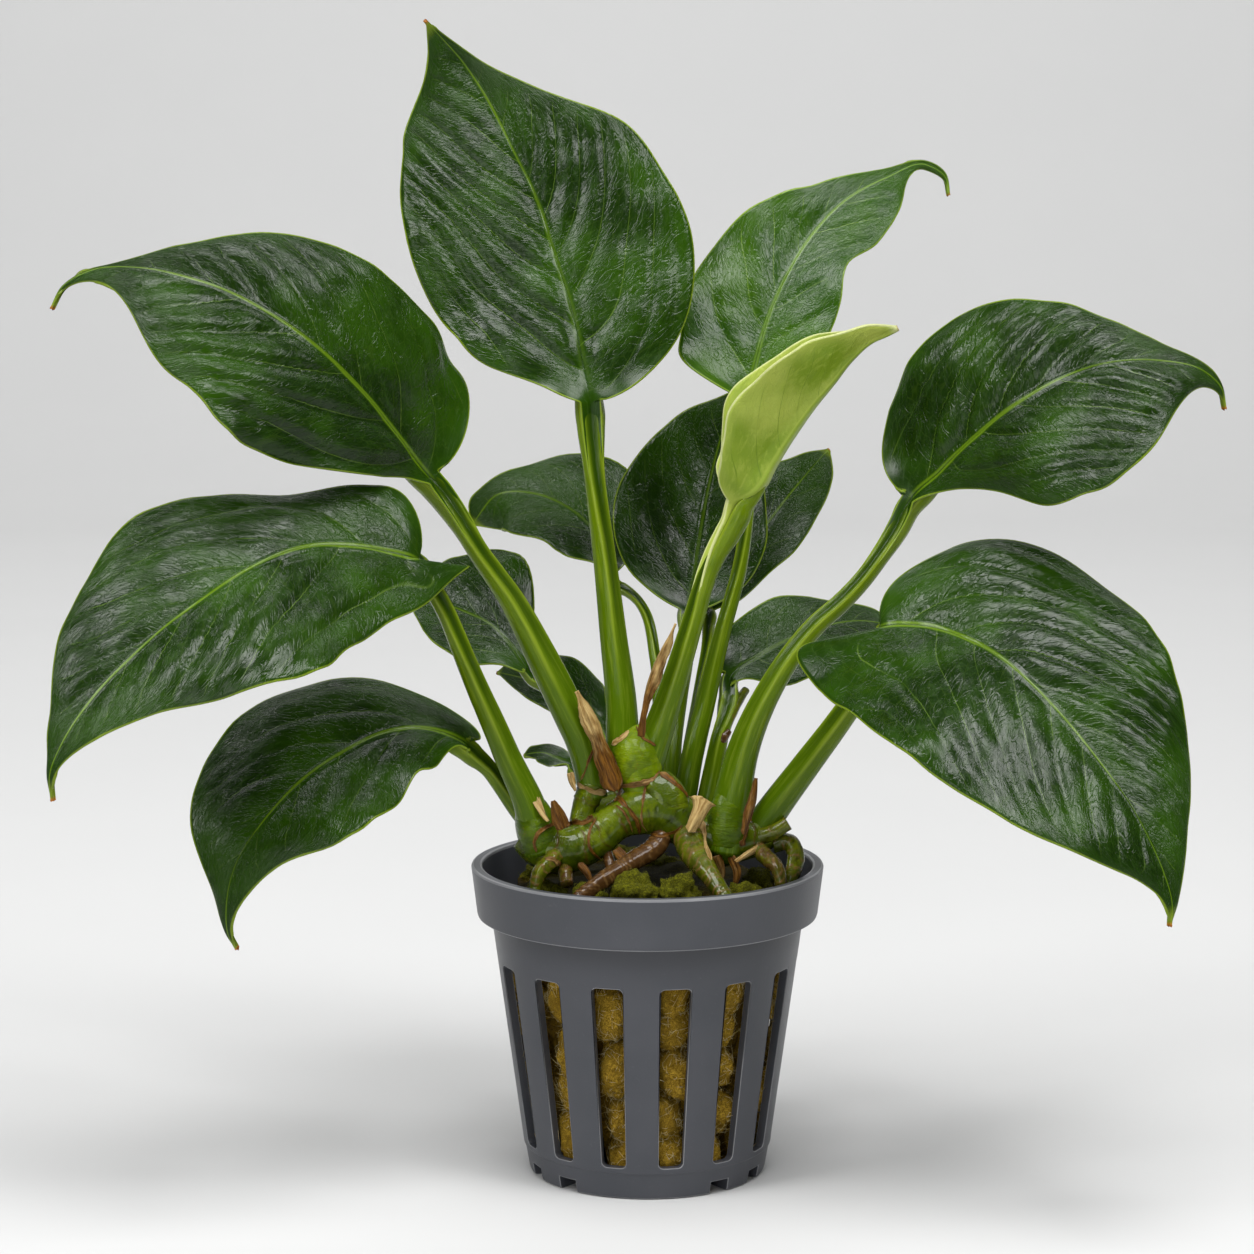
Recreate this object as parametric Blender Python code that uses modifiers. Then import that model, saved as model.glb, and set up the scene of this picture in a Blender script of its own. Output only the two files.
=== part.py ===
"""Potted Anubias barteri: a grey net pot of mineral wool, with a creeping rhizome and fifteen leaves.

Lengths in the named values are in millimetres and angles in degrees.
The origin is the middle of the pot's underside, +Z is up, and the plant's front faces -Y.
"""

import math

import bmesh
import bpy
import numpy as np

MM = 0.001
GAP = 0.3  # clearance left between pieces that touch

# Net pot
POT_HEIGHT = 44.3
RIM_RADIUS = 25.0
LIP_WIDTH = 1.6
BAND_FOOT_RADIUS = 24.2
BAND_FOOT = 36.9
WALL_TOP_RADIUS = 22.1
WALL_FOOT_RADIUS = 17.7
WALL_FOOT = 4.0
BASE_RADIUS = 16.9
WALL = 1.3
FLOOR = 1.6
POT_STEPS = 42

# Slots down the wall, counted round from the front
SLOT_COUNT = 14
SLOT_PITCH = 360.0 / SLOT_COUNT
FIRST_SLOT = 10.3
SLOT_TOP = 30.9
SLOT_FOOT = 4.7
SLOT_TOP_WIDTH = 4.4
SLOT_FOOT_WIDTH = 3.4
SLOT_CORNER = 0.7
DRAIN_SLOTS = (1, 2, 4, 5, 8, 9, 11, 12)  # the slots that have a drain under them
DRAIN_WIDTH = 3.0
DRAIN_HEIGHT = 1.5
DRAIN_START = 9.0

# Mineral wool
WOOL_TOP = 42.6
WOOL_CROWN = 0.9
WOOL_ROWS = 10
WOOL_LUMP = 0.45

# Leaf blades
BLADE_THICKNESS = 0.6
SHEATH_THICKNESS = 0.4
WIDTH_STATIONS = (0.0, 0.04, 0.12, 0.22, 0.34, 0.47, 0.6, 0.73, 0.86, 0.95, 1.0)
NECK_HALF_WIDTH = 1.1  # half width where the blade meets its stalk
TIP_HALF_WIDTH = 0.5
LOBE_STATION = 0.05  # how far along the blade its base lobes are longest
FIRST_ROW = 0.005  # how far along the blade its first row is
RIB_SPAN = 0.1  # share of the midrib, each way, that a rib is square to
LOBE_RISE = 0.4
LARGE_BLADE = (11, 6)  # rows and columns of faces
SMALL_BLADE = (8, 4)
SHEATH_BLADE = (4, 2)
STALK_STEPS = 7

GREEN = (0.035, 0.13, 0.02)
YOUNG_GREEN = (0.42, 0.52, 0.09)
STALK_GREEN = (0.15, 0.30, 0.03)

# Each leaf has the blade's midrib from its stalk to its tip, and its half widths at the inner stations on
# the left and right as seen from above with the tip away. "faces" is where the upper side looks at
# the base, middle and tip. "fold" raises both halves from the midrib, "curl" turns each one further,
# "lobes" draws the two halves of the base back and "tuck" brings them in towards the stalk.
LEAVES = {
    "top": dict(
        midrib=((-8.1, 4, 109.3), (-9.2, 6, 115), (-10.7, 8.5, 121.9), (-13.2, 11.3, 129.7),
                (-15.8, 13.9, 137.7), (-19.5, 16.4, 145.2), (-23.1, 18.3, 152.2), (-26.8, 18.4, 157.6),
                (-29.5, 16.9, 160.6), (-31.4, 15, 162.7)),
        faces=((0.1, -1, 0.1), (0.1, -1, 0.1), (0, -1, 0.2)),
        left=(5.8, 13.6, 17.2, 19.2, 19.8, 18.4, 15, 9.6, 2.6),
        right=(7.5, 13.8, 17.8, 19.8, 18.4, 15.4, 7.2, 1.9, 0.6),
        fold=(14, 10, 20), curl=(-14, -18), lobes=(0, 1), wave=(0.8, 2.5),
        stalk=((-3.5, -3.6, 61.2), (-3.7, -1.6, 67), (-4.8, 0.4, 76.2), (-6, 2, 86.7), (-7.3, 3, 97.6),
               (-8, 4, 108.2)),
        radii=(2.4, 1.9, 1.5, 1.45)),
    "upper_left": dict(
        midrib=((-30.2, -4, 99.4), (-34, -8, 104.9), (-38.4, -12, 111.3), (-44.4, -15, 117.8),
                (-51.5, -17, 123.1), (-59.3, -18, 126.8), (-67.4, -18, 128.5), (-74.4, -18, 128.2),
                (-78.2, -18, 126), (-79.7, -18, 123.3)),
        faces=((0.2, -0.8, 0.6), (0.1, -0.8, 0.6), (0, -0.8, 0.5)),
        left=(2.9, 6.9, 12.3, 17.3, 19.3, 16.2, 11.9, 2.8, 0.5),
        right=(12, 15.8, 17.2, 16.4, 14.7, 10.9, 4.3, 0.5, 0.2),
        fold=(12, 8, 15), curl=(-15, -20), lobes=(0, 1.5), wave=(0.8, 2.5),
        stalk=((-7.8, -4.7, 55.6), (-8.9, -4.5, 61.4), (-11.4, -4.5, 67.3), (-15.3, -4.3, 75.3),
               (-19, -4, 82.3), (-23.7, -4, 89.3), (-26.9, -4, 95.2), (-28.9, -4, 98.2)),
        radii=(2, 2.3, 2.3, 2, 1.6, 1.4, 1.35)),
    "mid_left": dict(
        midrib=((-31.2, -14, 88.8), (-37.4, -17.6, 91.1), (-44.9, -21.4, 91.7), (-53, -26.4, 89),
                (-60.1, -31.6, 84.7), (-66.7, -35.2, 79.4), (-72.1, -38.4, 73.9), (-75.6, -40.8, 68.3),
                (-77, -42, 64.3), (-76.9, -42, 61.1)),
        faces=((0, -0.8, 0.6), (-0.3, -0.8, 0.55), (-0.5, -0.75, 0.4)),
        left=(3, 10.4, 15.5, 18.2, 20.6, 15.8, 9.7, 4.8, 0.9),
        right=(8.8, 10.6, 9.5, 13.5, 17.7, 15.5, 10.4, 3.5, 0.9),
        fold=(10, 8, 15), curl=(-20, -15), lobes=(10, 1), tuck=0.36, wave=(0.9, 2.5),
        stalk=((-14.9, -8.8, 48.8), (-17, -9, 55.7), (-19, -9, 59.9), (-21.3, -9.5, 65.5),
               (-23.6, -10, 70.9), (-25.7, -11, 76.4), (-27.5, -10.5, 80.9), (-29.3, -11, 84.6),
               (-30.8, -11.8, 87.4)),
        radii=(2.7, 2.1, 1.8, 1.6, 1.4, 1.3, 1.25)),
    "lower_left": dict(
        midrib=((-25, -8, 62.5), (-29.7, -9.6, 64.8), (-35.8, -12.3, 65), (-42.1, -16.3, 62.7),
                (-47.6, -20.4, 59.3), (-51.9, -24.4, 54.5), (-55.1, -26.9, 49.3), (-56.3, -28.4, 44.1),
                (-56.1, -28.9, 40.6), (-55.2, -28, 38.2)),
        faces=((0, -0.65, 0.75), (-0.2, -0.7, 0.7), (-0.5, -0.8, 0.3)),
        left=(1, 6.2, 8.5, 11.7, 13.6, 12.3, 6.4, 2.8, 0.5),
        right=(2.6, 6, 11.3, 14.6, 15.8, 13.9, 9.3, 2.4, 0.7),
        fold=(10, 8, 15), curl=(-15, -20), lobes=(1, 3), wave=(0.8, 2.5),
        stalk=((-14.4, -5.6, 48.4), (-17.9, -5, 52.5), (-20.7, -6, 56.8), (-22.8, -7.4, 60),
               (-24.4, -8, 62)),
        radii=(1.5, 1.1)),
    "upper_right": dict(
        midrib=((14.5, 14, 108.8), (15.5, 16, 113.7), (17.2, 18.8, 119.6), (20.2, 22.5, 126.2),
                (24.2, 26.2, 132.4), (29.5, 29.8, 137.6), (35.8, 33.2, 140.8), (41.6, 36.1, 142.7),
                (44.7, 37, 140.8), (45.3, 37, 138.2)),
        faces=((0, -1, 0.2), (-0.1, -1, 0.3), (0, -1, 0.3)),
        left=(9.4, 11.6, 12.5, 11.7, 9.2, 4.7, 2.4, 0.7, 0.5),
        right=(4.3, 7.5, 9.2, 9, 7, 8.3, 5.8, 0.9, 0.5),
        fold=(15, 12, 20), curl=(-10, -15), lobes=(0, 0), wave=(0.8, 2.5),
        stalk=((5.5, 2, 54.3), (6.4, 3, 59), (7.8, 5, 64.2), (10.7, 8, 75.8), (13.4, 11, 85.5),
               (14.6, 13, 96.2), (14.4, 14, 104.7)),
        radii=(1.7, 1.3, 1.0, 0.9)),
    "young": dict(
        midrib=((11.8, -3, 95.5), (14.4, -3.5, 97.8), (16.6, -4, 101.3), (19.1, -4.7, 105.4),
                (21.8, -5.5, 109.4), (24.8, -6.4, 113.1), (27.5, -7.1, 116.5), (30.3, -8, 118.9),
                (32.5, -8, 119.8), (34, -8, 120.5)),
        faces=((-0.75, -0.1, 0.6), (-0.75, -0.1, 0.6), (-0.6, -0.2, 0.8)),
        left=(4.7, 7, 8.3, 9.5, 9.3, 7.7, 5.5, 2.2, 0.7), right=(4.4, 7.1, 8.5, 9.6, 9.6, 9.2, 7.2, 3.2, 1.4),
        fold=(65, 65, 50), curl=(5, 5), lobes=(0, 0), wave=(0.2, 2.0),
        stalk=((-0.4, -4, 58.6), (0.9, -3.6, 62.1), (3.4, -3.4, 69.5), (6.5, -3, 79.7), (9.5, -3, 89.5),
               (11.7, -3, 94.5)),
        radii=(2.5, 1.8, 1.4, 1.1)),
    "right": dict(
        midrib=((36.6, -4, 96.6), (40.3, -6, 100.4), (44.5, -9, 105.1), (49.7, -12, 110.1),
                (55.7, -14, 113.6), (62.5, -15, 115.8), (69.2, -15, 116.1), (74.9, -14, 114.7),
                (77.6, -13, 112.2), (78.2, -13, 109.6)),
        faces=((-0.2, -0.75, 0.65), (0, -0.75, 0.65), (0.2, -0.8, 0.5)),
        left=(8.1, 14.9, 17.6, 18.6, 15, 10.1, 4.5, 1.3, 0.5),
        right=(1.8, 3.9, 8.8, 16.4, 18.2, 17.4, 13.4, 4, 0.8),
        fold=(12, 8, 15), curl=(-15, -20), lobes=(2, 0), wave=(0.8, 2.5),
        stalk=((10.8, -6.4, 48.2), (11.8, -6, 54.4), (13.6, -6, 62.2), (17.4, -6, 70.7), (22.5, -5.5, 78),
               (28.9, -5, 84.1), (33.5, -4.3, 90.7), (36.1, -4, 96)),
        radii=(3.1, 2.2, 1.55, 1.3, 1.2)),
    "lower_right": dict(
        midrib=((31.4, -16, 79.9), (37.3, -18.4, 80.6), (43.8, -23.2, 78.8), (49.9, -29, 74.6),
                (55.2, -33.6, 69.2), (59.8, -37.8, 63.3), (63.5, -41, 57.4), (66, -43.1, 51.9),
                (67, -44.3, 48.1), (66.9, -45, 45.4)),
        faces=((0, -0.7, 0.7), (0.2, -0.8, 0.5), (0.5, -0.8, 0.3)),
        left=(8.7, 15.7, 19.6, 20.5, 19.3, 15.8, 11.3, 4.8, 1.3),
        right=(5.4, 13.8, 18.3, 20.4, 19.8, 17.3, 13.9, 6.7, 1.4),
        fold=(10, 8, 15), curl=(-20, -20), lobes=(1, 13), wave=(0.9, 2.5),
        stalk=((15.4, -4, 49.4), (17.9, -5, 53.3), (22, -7, 59.4), (27.3, -9, 67.2), (31.1, -12.3, 74.2),
               (32.3, -14, 78.2)),
        radii=(2.4, 1.8, 1.4)),
    "back_centre": dict(
        midrib=((6.1, 22, 77.3), (7.2, 25.5, 83.6), (8.3, 28.9, 90.1), (9.7, 32.9, 96.5),
                (11.5, 35.9, 102.9), (13.9, 38, 109.3)),
        faces=((0, -1, 0.2), (0.1, -1, 0.2), (0.1, -1, 0.3)),
        left=(5.4, 9.6, 12.1, 13.4, 13.3, 11.6, 9.1, 5.5, 1.8), right=(4, 7, 9, 10, 9.5, 8.5, 7.2, 5, 2.5),
        fold=(12, 10, 15), curl=(-12, -12), lobes=(0, 0), wave=(0.6, 2.0),
        stalk=((3.5, 4, 53.9), (3.6, 7, 59.2), (4.6, 12, 65.7), (5.8, 18, 72.2), (6.1, 21.7, 77.1)),
        radii=(1.4, 1.1)),
    "back_left": dict(
        midrib=((-5.1, 27, 82.3), (-7.3, 30.6, 87.4), (-11.5, 34.5, 91.2), (-17, 37.6, 93.4),
                (-23, 40.4, 92.8), (-26.6, 41, 88.2)),
        faces=((0.1, -0.9, 0.4), (0.1, -0.8, 0.6), (0, -0.8, 0.6)),
        left=(1.1, 4.8, 6.5, 7, 7.8, 8.4, 7.5, 6.3, 3.2), right=(3, 6, 8.5, 10.8, 10.6, 8.4, 4.6, 2.5, 1.8),
        fold=(12, 8, 12), curl=(-12, -12), lobes=(0, 0), wave=(0.6, 2.0),
        stalk=((1.5, 5.5, 52.5), (1.7, 10, 62), (1.2, 17, 71), (-1, 23.5, 78.4), (-3.4, 26, 80.4),
               (-5, 26.8, 81.3)),
        radii=(1, 0.7)),
    "back_right": dict(
        midrib=((8.8, 30, 76.2), (12.5, 33.6, 80.8), (16.1, 37.1, 85.6), (19.8, 40.5, 90.3),
                (23.9, 43.6, 94.9), (28.2, 46, 99.5)),
        faces=((0, -1, 0.3), (-0.1, -1, 0.3), (-0.1, -1, 0.3)),
        left=(3, 6, 8, 9, 9, 8, 6.5, 3.5, 1.5), right=(1.5, 3, 3.8, 4.8, 6, 6, 5.4, 4.2, 2),
        fold=(12, 8, 12), curl=(-12, -12), lobes=(0, 0), wave=(0.6, 2.0),
        stalk=((5, 6, 53.6), (6.2, 10, 59.4), (7.8, 18, 66.2), (8.9, 24, 71.3), (9.4, 29.3, 76.3)),
        radii=(1.0, 0.8)),
    "inner_right": dict(
        midrib=((11.9, 8, 69.5), (16.1, 11, 72.3), (20.8, 14, 74.4), (25.8, 17, 75.7), (31.2, 20, 76.1),
                (36.7, 22, 75.3)),
        faces=((0, -0.9, 0.4), (0, -0.8, 0.6), (0, -0.7, 0.7)),
        left=(4, 5.6, 6.3, 6.8, 6.9, 5.6, 3.8, 2.9, 1.6), right=(1, 2, 5.5, 6.9, 7.4, 6.8, 5.4, 3.7, 1.6),
        fold=(12, 8, 12), curl=(-12, -12), lobes=(1, 2), wave=(0.6, 2.0),
        stalk=((8.4, 1, 52.1), (9.4, 2, 57.2), (10.6, 4, 62.7), (11.3, 5.2, 65.2), (11.7, 6.1, 66.8)),
        radii=(1.6, 1.3, 1.0)),
    "inner_left": dict(
        midrib=((-17.3, 13, 70.2), (-19.8, 15.1, 73.3), (-22.9, 17.1, 76), (-26.7, 18.9, 77.7),
                (-30.7, 21.2, 79), (-34.7, 23, 80.4)),
        faces=((0.1, -0.8, 0.6), (0.1, -0.8, 0.6), (0.1, -0.8, 0.6)),
        left=(1.5, 3.1, 6, 7, 7.6, 7.5, 6, 4, 2), right=(2, 3, 4, 7.5, 11.6, 12.2, 11.8, 8.2, 4.4),
        fold=(12, 8, 12), curl=(-12, -12), lobes=(1, 2), wave=(0.6, 2.0),
        stalk=((-7.5, 5, 51.8), (-7.9, 4.5, 55.4), (-8.5, 5.5, 59.6), (-10.8, 8, 64.2),
               (-13.7, 11, 67.3), (-16.5, 12.7, 69.2)),
        radii=(1, 0.9, 0.8)),
    "small_left": dict(
        midrib=((-6.3, 18, 61.5), (-8.9, 20.9, 63.4), (-12, 23.3, 64.9), (-15.3, 25.6, 65.9),
                (-18.8, 28.1, 66.6), (-22.5, 30, 67.1)),
        faces=((0.1, -0.8, 0.6), (0.1, -0.8, 0.6), (0.1, -0.8, 0.6)),
        left=(1.2, 2.7, 3.5, 3.5, 3.9, 3.9, 2.8, 1.6, 0.6), right=(1, 2.3, 4.3, 5.1, 5.7, 5.8, 5.5, 3.9, 2.3),
        fold=(12, 8, 12), curl=(-12, -12), lobes=(0, 0), wave=(0.5, 2.0),
        stalk=((-4.5, 6, 51.8), (-5.2, 9, 56.1), (-5.8, 13, 58.9), (-6.3, 17.3, 61.2)),
        radii=(0.9, 0.7)),
    "smallest": dict(
        midrib=((-10.9, 14, 55.8), (-12.3, 16.1, 56.1), (-13.7, 18.3, 56.3), (-15.2, 21, 56.3),
                (-16.7, 22.8, 56), (-18.3, 24, 55.5)),
        faces=((0.1, -0.8, 0.6), (0.1, -0.8, 0.6), (0.1, -0.8, 0.6)),
        left=(0.6, 1.7, 1.7, 1.4, 1.5, 1.9, 1.3, 0.8, 0.3), right=(0.8, 1.3, 1.7, 2, 2.2, 2.4, 2.2, 1.3, 0.8),
        fold=(12, 8, 12), curl=(-12, -12), lobes=(0, 0), wave=(0.3, 2.0),
        stalk=((-7.2, 6, 51.6), (-9.1, 9, 53.2), (-10.8, 13.3, 55.4)),
        radii=(0.8, 0.6)),
}
LARGE_LEAVES = ("top", "upper_left", "mid_left", "lower_left", "upper_right", "young", "right", "lower_right")

# Rhizome pieces: the path of each and its radius along it
RHIZOME = {
    "rhizome": dict(
        path=((-17.4, -7.6, 49.8), (-16, -7.8, 48.8), (-13.8, -8.2, 47.9), (-11.4, -8.5, 47.8),
              (-8.2, -8.2, 49), (-5.6, -7.6, 50.8), (-3, -6.8, 52.3), (-0.4, -5.8, 53), (2.8, -5.6, 52.6),
              (5, -5.6, 51), (7.6, -5.8, 49.4), (10.9, -6, 48.7), (14.4, -5.2, 48.8), (17.8, -4, 49.4)),
        radii=(2.2, 3.0, 3.2, 3.1, 2.9, 2.7, 3.4, 3.6, 3.4, 3.0, 3.0, 3.1, 2.6, 1.8)),
    "rhizome_crown": dict(
        path=((-0.6, -5, 54), (-1, -4.8, 57), (-1.3, -4.4, 59.4), (-1.5, -3.2, 61.4), (-1.8, -2, 62.8)),
        radii=(2.7, 2.9, 3.1, 2.9, 2.2)),
    "rhizome_fork": dict(
        path=((-9, -7.4, 49.6), (-9.4, -6.6, 51.4), (-9, -5.8, 53.2), (-8.2, -5, 55.2), (-7.9, -4.8, 56.4)),
        radii=(1.6, 1.5, 1.5, 1.7, 2.0)),
    "rhizome_back": dict(
        path=((3.2, -3, 51.4), (3.5, 2, 51), (1, 5, 51.2), (-3.5, 6, 51.2), (-8, 5.2, 51)),
        radii=(2.2, 2.7, 2.7, 2.5, 1.6)),
}

# Roots: paths from the rhizome into the wool
ROOTS = {
    "root_left": dict(path=((-12.4, -9, 48), (-13.2, -12, 47.2), (-14.8, -13.6, 45.8),
                            (-15.8, -14.8, 42.8)),
                      radii=(1.2, 1.05, 0.95, 0.8)),
    "root_long": dict(path=((2.4, -6, 50.6), (1, -9, 48.2), (-1.5, -11, 47), (-6, -15, 45), (-10, -17.5, 42.5)),
                      radii=(1.5, 1.35, 1.25, 1.1, 0.9)),
    "root_front": dict(path=((5.4, -6.4, 50.2), (6.4, -10.4, 47.9), (8.8, -15, 45.2), (10.9, -18, 42.3)),
                       radii=(2.3, 1.9, 1.45, 1.0)),
    "root_right": dict(path=((14.6, -5.6, 48.2), (16.3, -9, 47), (18, -11.4, 45.6), (18.6, -12, 43)),
                       radii=(1.3, 1.1, 1.0, 0.9)),
    "root_arch": dict(path=((17.7, -5.4, 48), (19.9, -5.6, 48.2), (20.6, -6.2, 46.7), (20.3, -7.2, 44.6),
                            (19.7, -8, 42.4)),
                      radii=(1.3, 1.25, 1.2, 1.15, 1.0)),
}

# Papery sheaths: short blades that wrap part of a stalk's foot
SHEATHS = {
    "sheath_left": dict(path=((-4.3, -8.8, 56.2), (-5.4, -8.6, 59.6), (-6.8, -8.2, 63.4), (-8.4, -7.6, 67),
                              (-9.9, -7.2, 70)),
                        width=1.8, faces=(0.3, -1, 0.1)),
    "sheath_crown": dict(path=((-0.9, -7.6, 63.6), (-0.5, -7.4, 67.5), (0.8, -7, 72.3), (2.6, -6.6, 76.4),
                               (3.9, -6.2, 79.3)),
                         width=1.0, faces=(-0.5, -1, 0.1)),
    "sheath_wrap": dict(path=((7.8, -9.6, 55.4), (6.9, -10.4, 53.2), (5.6, -11, 50.8)),
                        width=1.5, faces=(0, -1, 0.4)),
    "sheath_right": dict(path=((13.4, -10.4, 50.2), (14.3, -9.9, 54.4), (15, -9.2, 58.1)),
                         width=0.9, faces=(0.6, -1, 0.1)),
    "sheath_low": dict(path=((-11.6, -12.6, 51.6), (-12.4, -12.2, 53.6), (-13.1, -11.8, 55.4)),
                       width=1.2, faces=(0.2, -1, 0)),
}


def material(name, colour, roughness, metallic=0.0):
    """A plain finish with the colour of one kind of piece."""
    finish = bpy.data.materials.new(name)
    finish.use_nodes = True
    shader = finish.node_tree.nodes["Principled BSDF"]
    shader.inputs["Base Color"].default_value = (*colour, 1.0)
    shader.inputs["Roughness"].default_value = roughness
    shader.inputs["Metallic"].default_value = metallic
    return finish


def hermite(knots, values, at):
    """Smooth values between knots, through each one."""
    knots = np.asarray(knots, float)
    values = np.asarray(values, float)
    slopes = np.gradient(values, knots, axis=0)
    k = np.clip(np.searchsorted(knots, at, side="right") - 1, 0, len(knots) - 2)
    span = knots[k + 1] - knots[k]
    u = (at - knots[k]) / span
    if values.ndim > 1:
        span = span[:, None]
        u = u[:, None]
    return ((2 * u**3 - 3 * u**2 + 1) * values[k] + (u**3 - 2 * u**2 + u) * span * slopes[k]
            + (3 * u**2 - 2 * u**3) * values[k + 1] + (u**3 - u**2) * span * slopes[k + 1])


def smooth_path(points, along):
    """Points at the given shares of the length of a smooth curve through the given points."""
    points = np.asarray(points, float)
    knots = np.concatenate([[0], np.cumsum(np.linalg.norm(np.diff(points, axis=0), axis=1))])
    fine = hermite(knots, points, np.linspace(0, knots[-1], 300))
    length = np.concatenate([[0], np.cumsum(np.linalg.norm(np.diff(fine, axis=0), axis=1))])
    share = length / length[-1]
    return np.stack([np.interp(along, share, fine[:, axis]) for axis in range(3)], axis=1)


def unit(vectors):
    return vectors / np.linalg.norm(vectors, axis=-1, keepdims=True)


def half_width(widths, lobe, along):
    """A blade's half width at shares of its length: round at the base, more slowly beside a long lobe."""
    rise = 0.5 + lobe / 30
    stations = np.array(WIDTH_STATIONS)
    envelope = stations[1:-1]**rise * (1 - stations[1:-1])
    share = np.array(widths) / envelope
    share = np.concatenate([share[:1], share, share[-1:]])
    floor = NECK_HALF_WIDTH + (TIP_HALF_WIDTH - NECK_HALF_WIDTH) * along
    return np.maximum(along**rise * (1 - along) * hermite(stations, share, along), floor)


def blade_frame(leaf, along):
    """The midrib's points, and the directions ahead, up and right there, at shares of its length."""
    centre = smooth_path(leaf["midrib"], along)
    ahead = smooth_path(leaf["midrib"], np.minimum(along + RIB_SPAN, 1))
    behind = smooth_path(leaf["midrib"], np.maximum(along - RIB_SPAN, 0))
    tangent = unit(ahead - behind)
    faces = hermite((0, 0.5, 1), leaf["faces"], along)
    normal = unit(faces - (faces * tangent).sum(axis=1, keepdims=True) * tangent)
    return centre, tangent, normal, np.cross(tangent, normal)


def blade_points(leaf, rows, columns):
    """A grid of points on the upper side of a blade, from stalk to tip and from left to right."""
    even = np.linspace(0, 1, rows + 1)
    along = FIRST_ROW + (1 - FIRST_ROW) * (even - 0.75 * np.sin(2 * math.pi * even) / (2 * math.pi))
    centre, tangent, normal, right = blade_frame(leaf, along)
    fold = np.radians(hermite((0, 0.5, 1), leaf["fold"], along))
    wave_height, wave_count = leaf["wave"]
    lobe = (along / LOBE_STATION) ** LOBE_RISE * np.exp(LOBE_RISE * (1 - along / LOBE_STATION))
    grid = np.zeros((rows + 1, columns + 1, 3))
    for column, across in enumerate(np.linspace(-1, 1, columns + 1)):
        side = 0 if across < 0 else 1
        reach = half_width(leaf[("left", "right")[side]], leaf["lobes"][side], along)
        curl = math.radians(leaf["curl"][side])
        turned = fold + curl * abs(across)
        outward = reach / curl * (np.sin(turned) - np.sin(fold))
        upward = reach / curl * (np.cos(fold) - np.cos(turned))
        ripple = np.sin(2 * math.pi * wave_count * along + side * 2.0)
        upward = upward + wave_height * across**2 * ripple * np.sin(math.pi * along)
        backward = leaf["lobes"][side] * lobe * abs(across) ** 1.2
        outward = outward - leaf.get("tuck", 0) * backward
        grid[:, column] = (centre + right * (np.sign(across) * outward)[:, None] + normal * upward[:, None]
                           - tangent * backward[:, None])
    return grid


def mesh_object(name, mesh, collection, finish=None):
    item = bpy.data.objects.new(name, mesh)
    collection.objects.link(item)
    if finish:
        mesh.materials.append(finish)
    return item


def smooth_shade(mesh, angle=40):
    mesh.shade_smooth()
    mesh.set_sharp_from_angle(angle=math.radians(angle))


def blade(name, leaf, size, thickness, collection, finish):
    """An open sheet over the blade's grid, thickened downwards."""
    grid = blade_points(leaf, *size) * MM
    rows, columns = size
    form = bmesh.new()
    points = [[form.verts.new(grid[i, j]) for j in range(columns + 1)] for i in range(rows + 1)]
    for i in range(rows):
        for j in range(columns):
            form.faces.new((points[i][j], points[i][j + 1], points[i + 1][j + 1], points[i + 1][j]))
    mesh = bpy.data.meshes.new(name)
    form.to_mesh(mesh)
    form.free()
    smooth_shade(mesh)
    item = mesh_object(name, mesh, collection, finish)
    solidify = item.modifiers.new("thickness", "SOLIDIFY")
    solidify.thickness = thickness * MM
    solidify.offset = -1
    return item


def tube(name, path, radii, steps, collection, finish=None, resolution=1, extra=0.0):
    """A closed tube along a smooth path, its radius running through the given ones, turned into a mesh."""
    along = np.linspace(0, 1, steps + 1)
    points = smooth_path(path, along) * MM
    widths = hermite(np.linspace(0, 1, len(radii)), radii, along) + extra
    curve = bpy.data.curves.new(name, "CURVE")
    curve.dimensions = "3D"
    curve.bevel_depth = MM
    curve.bevel_resolution = resolution
    curve.use_fill_caps = True
    spline = curve.splines.new("POLY")
    spline.points.add(steps)
    for point, place, width in zip(spline.points, points, widths):
        point.co = (*place, 1)
        point.radius = width
    guide = bpy.data.objects.new(name + "_curve", curve)
    collection.objects.link(guide)
    bpy.context.view_layer.update()
    mesh = bpy.data.meshes.new_from_object(guide.evaluated_get(bpy.context.evaluated_depsgraph_get()))
    bpy.data.objects.remove(guide)
    form = bmesh.new()
    form.from_mesh(mesh)
    bmesh.ops.remove_doubles(form, verts=form.verts, dist=0.001 * MM)
    bmesh.ops.recalc_face_normals(form, faces=form.faces)
    form.to_mesh(mesh)
    form.free()
    mesh.name = name
    smooth_shade(mesh)
    return mesh_object(name, mesh, collection, finish)


def cutter(item):
    item.hide_render = True
    item.display_type = "WIRE"
    return item


def cut(item, tools):
    """Takes each tool's shape out of an item."""
    for tool in tools:
        difference = item.modifiers.new("cut_" + tool.name, "BOOLEAN")
        difference.operation = "DIFFERENCE"
        difference.solver = "EXACT"
        difference.object = tool


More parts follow.
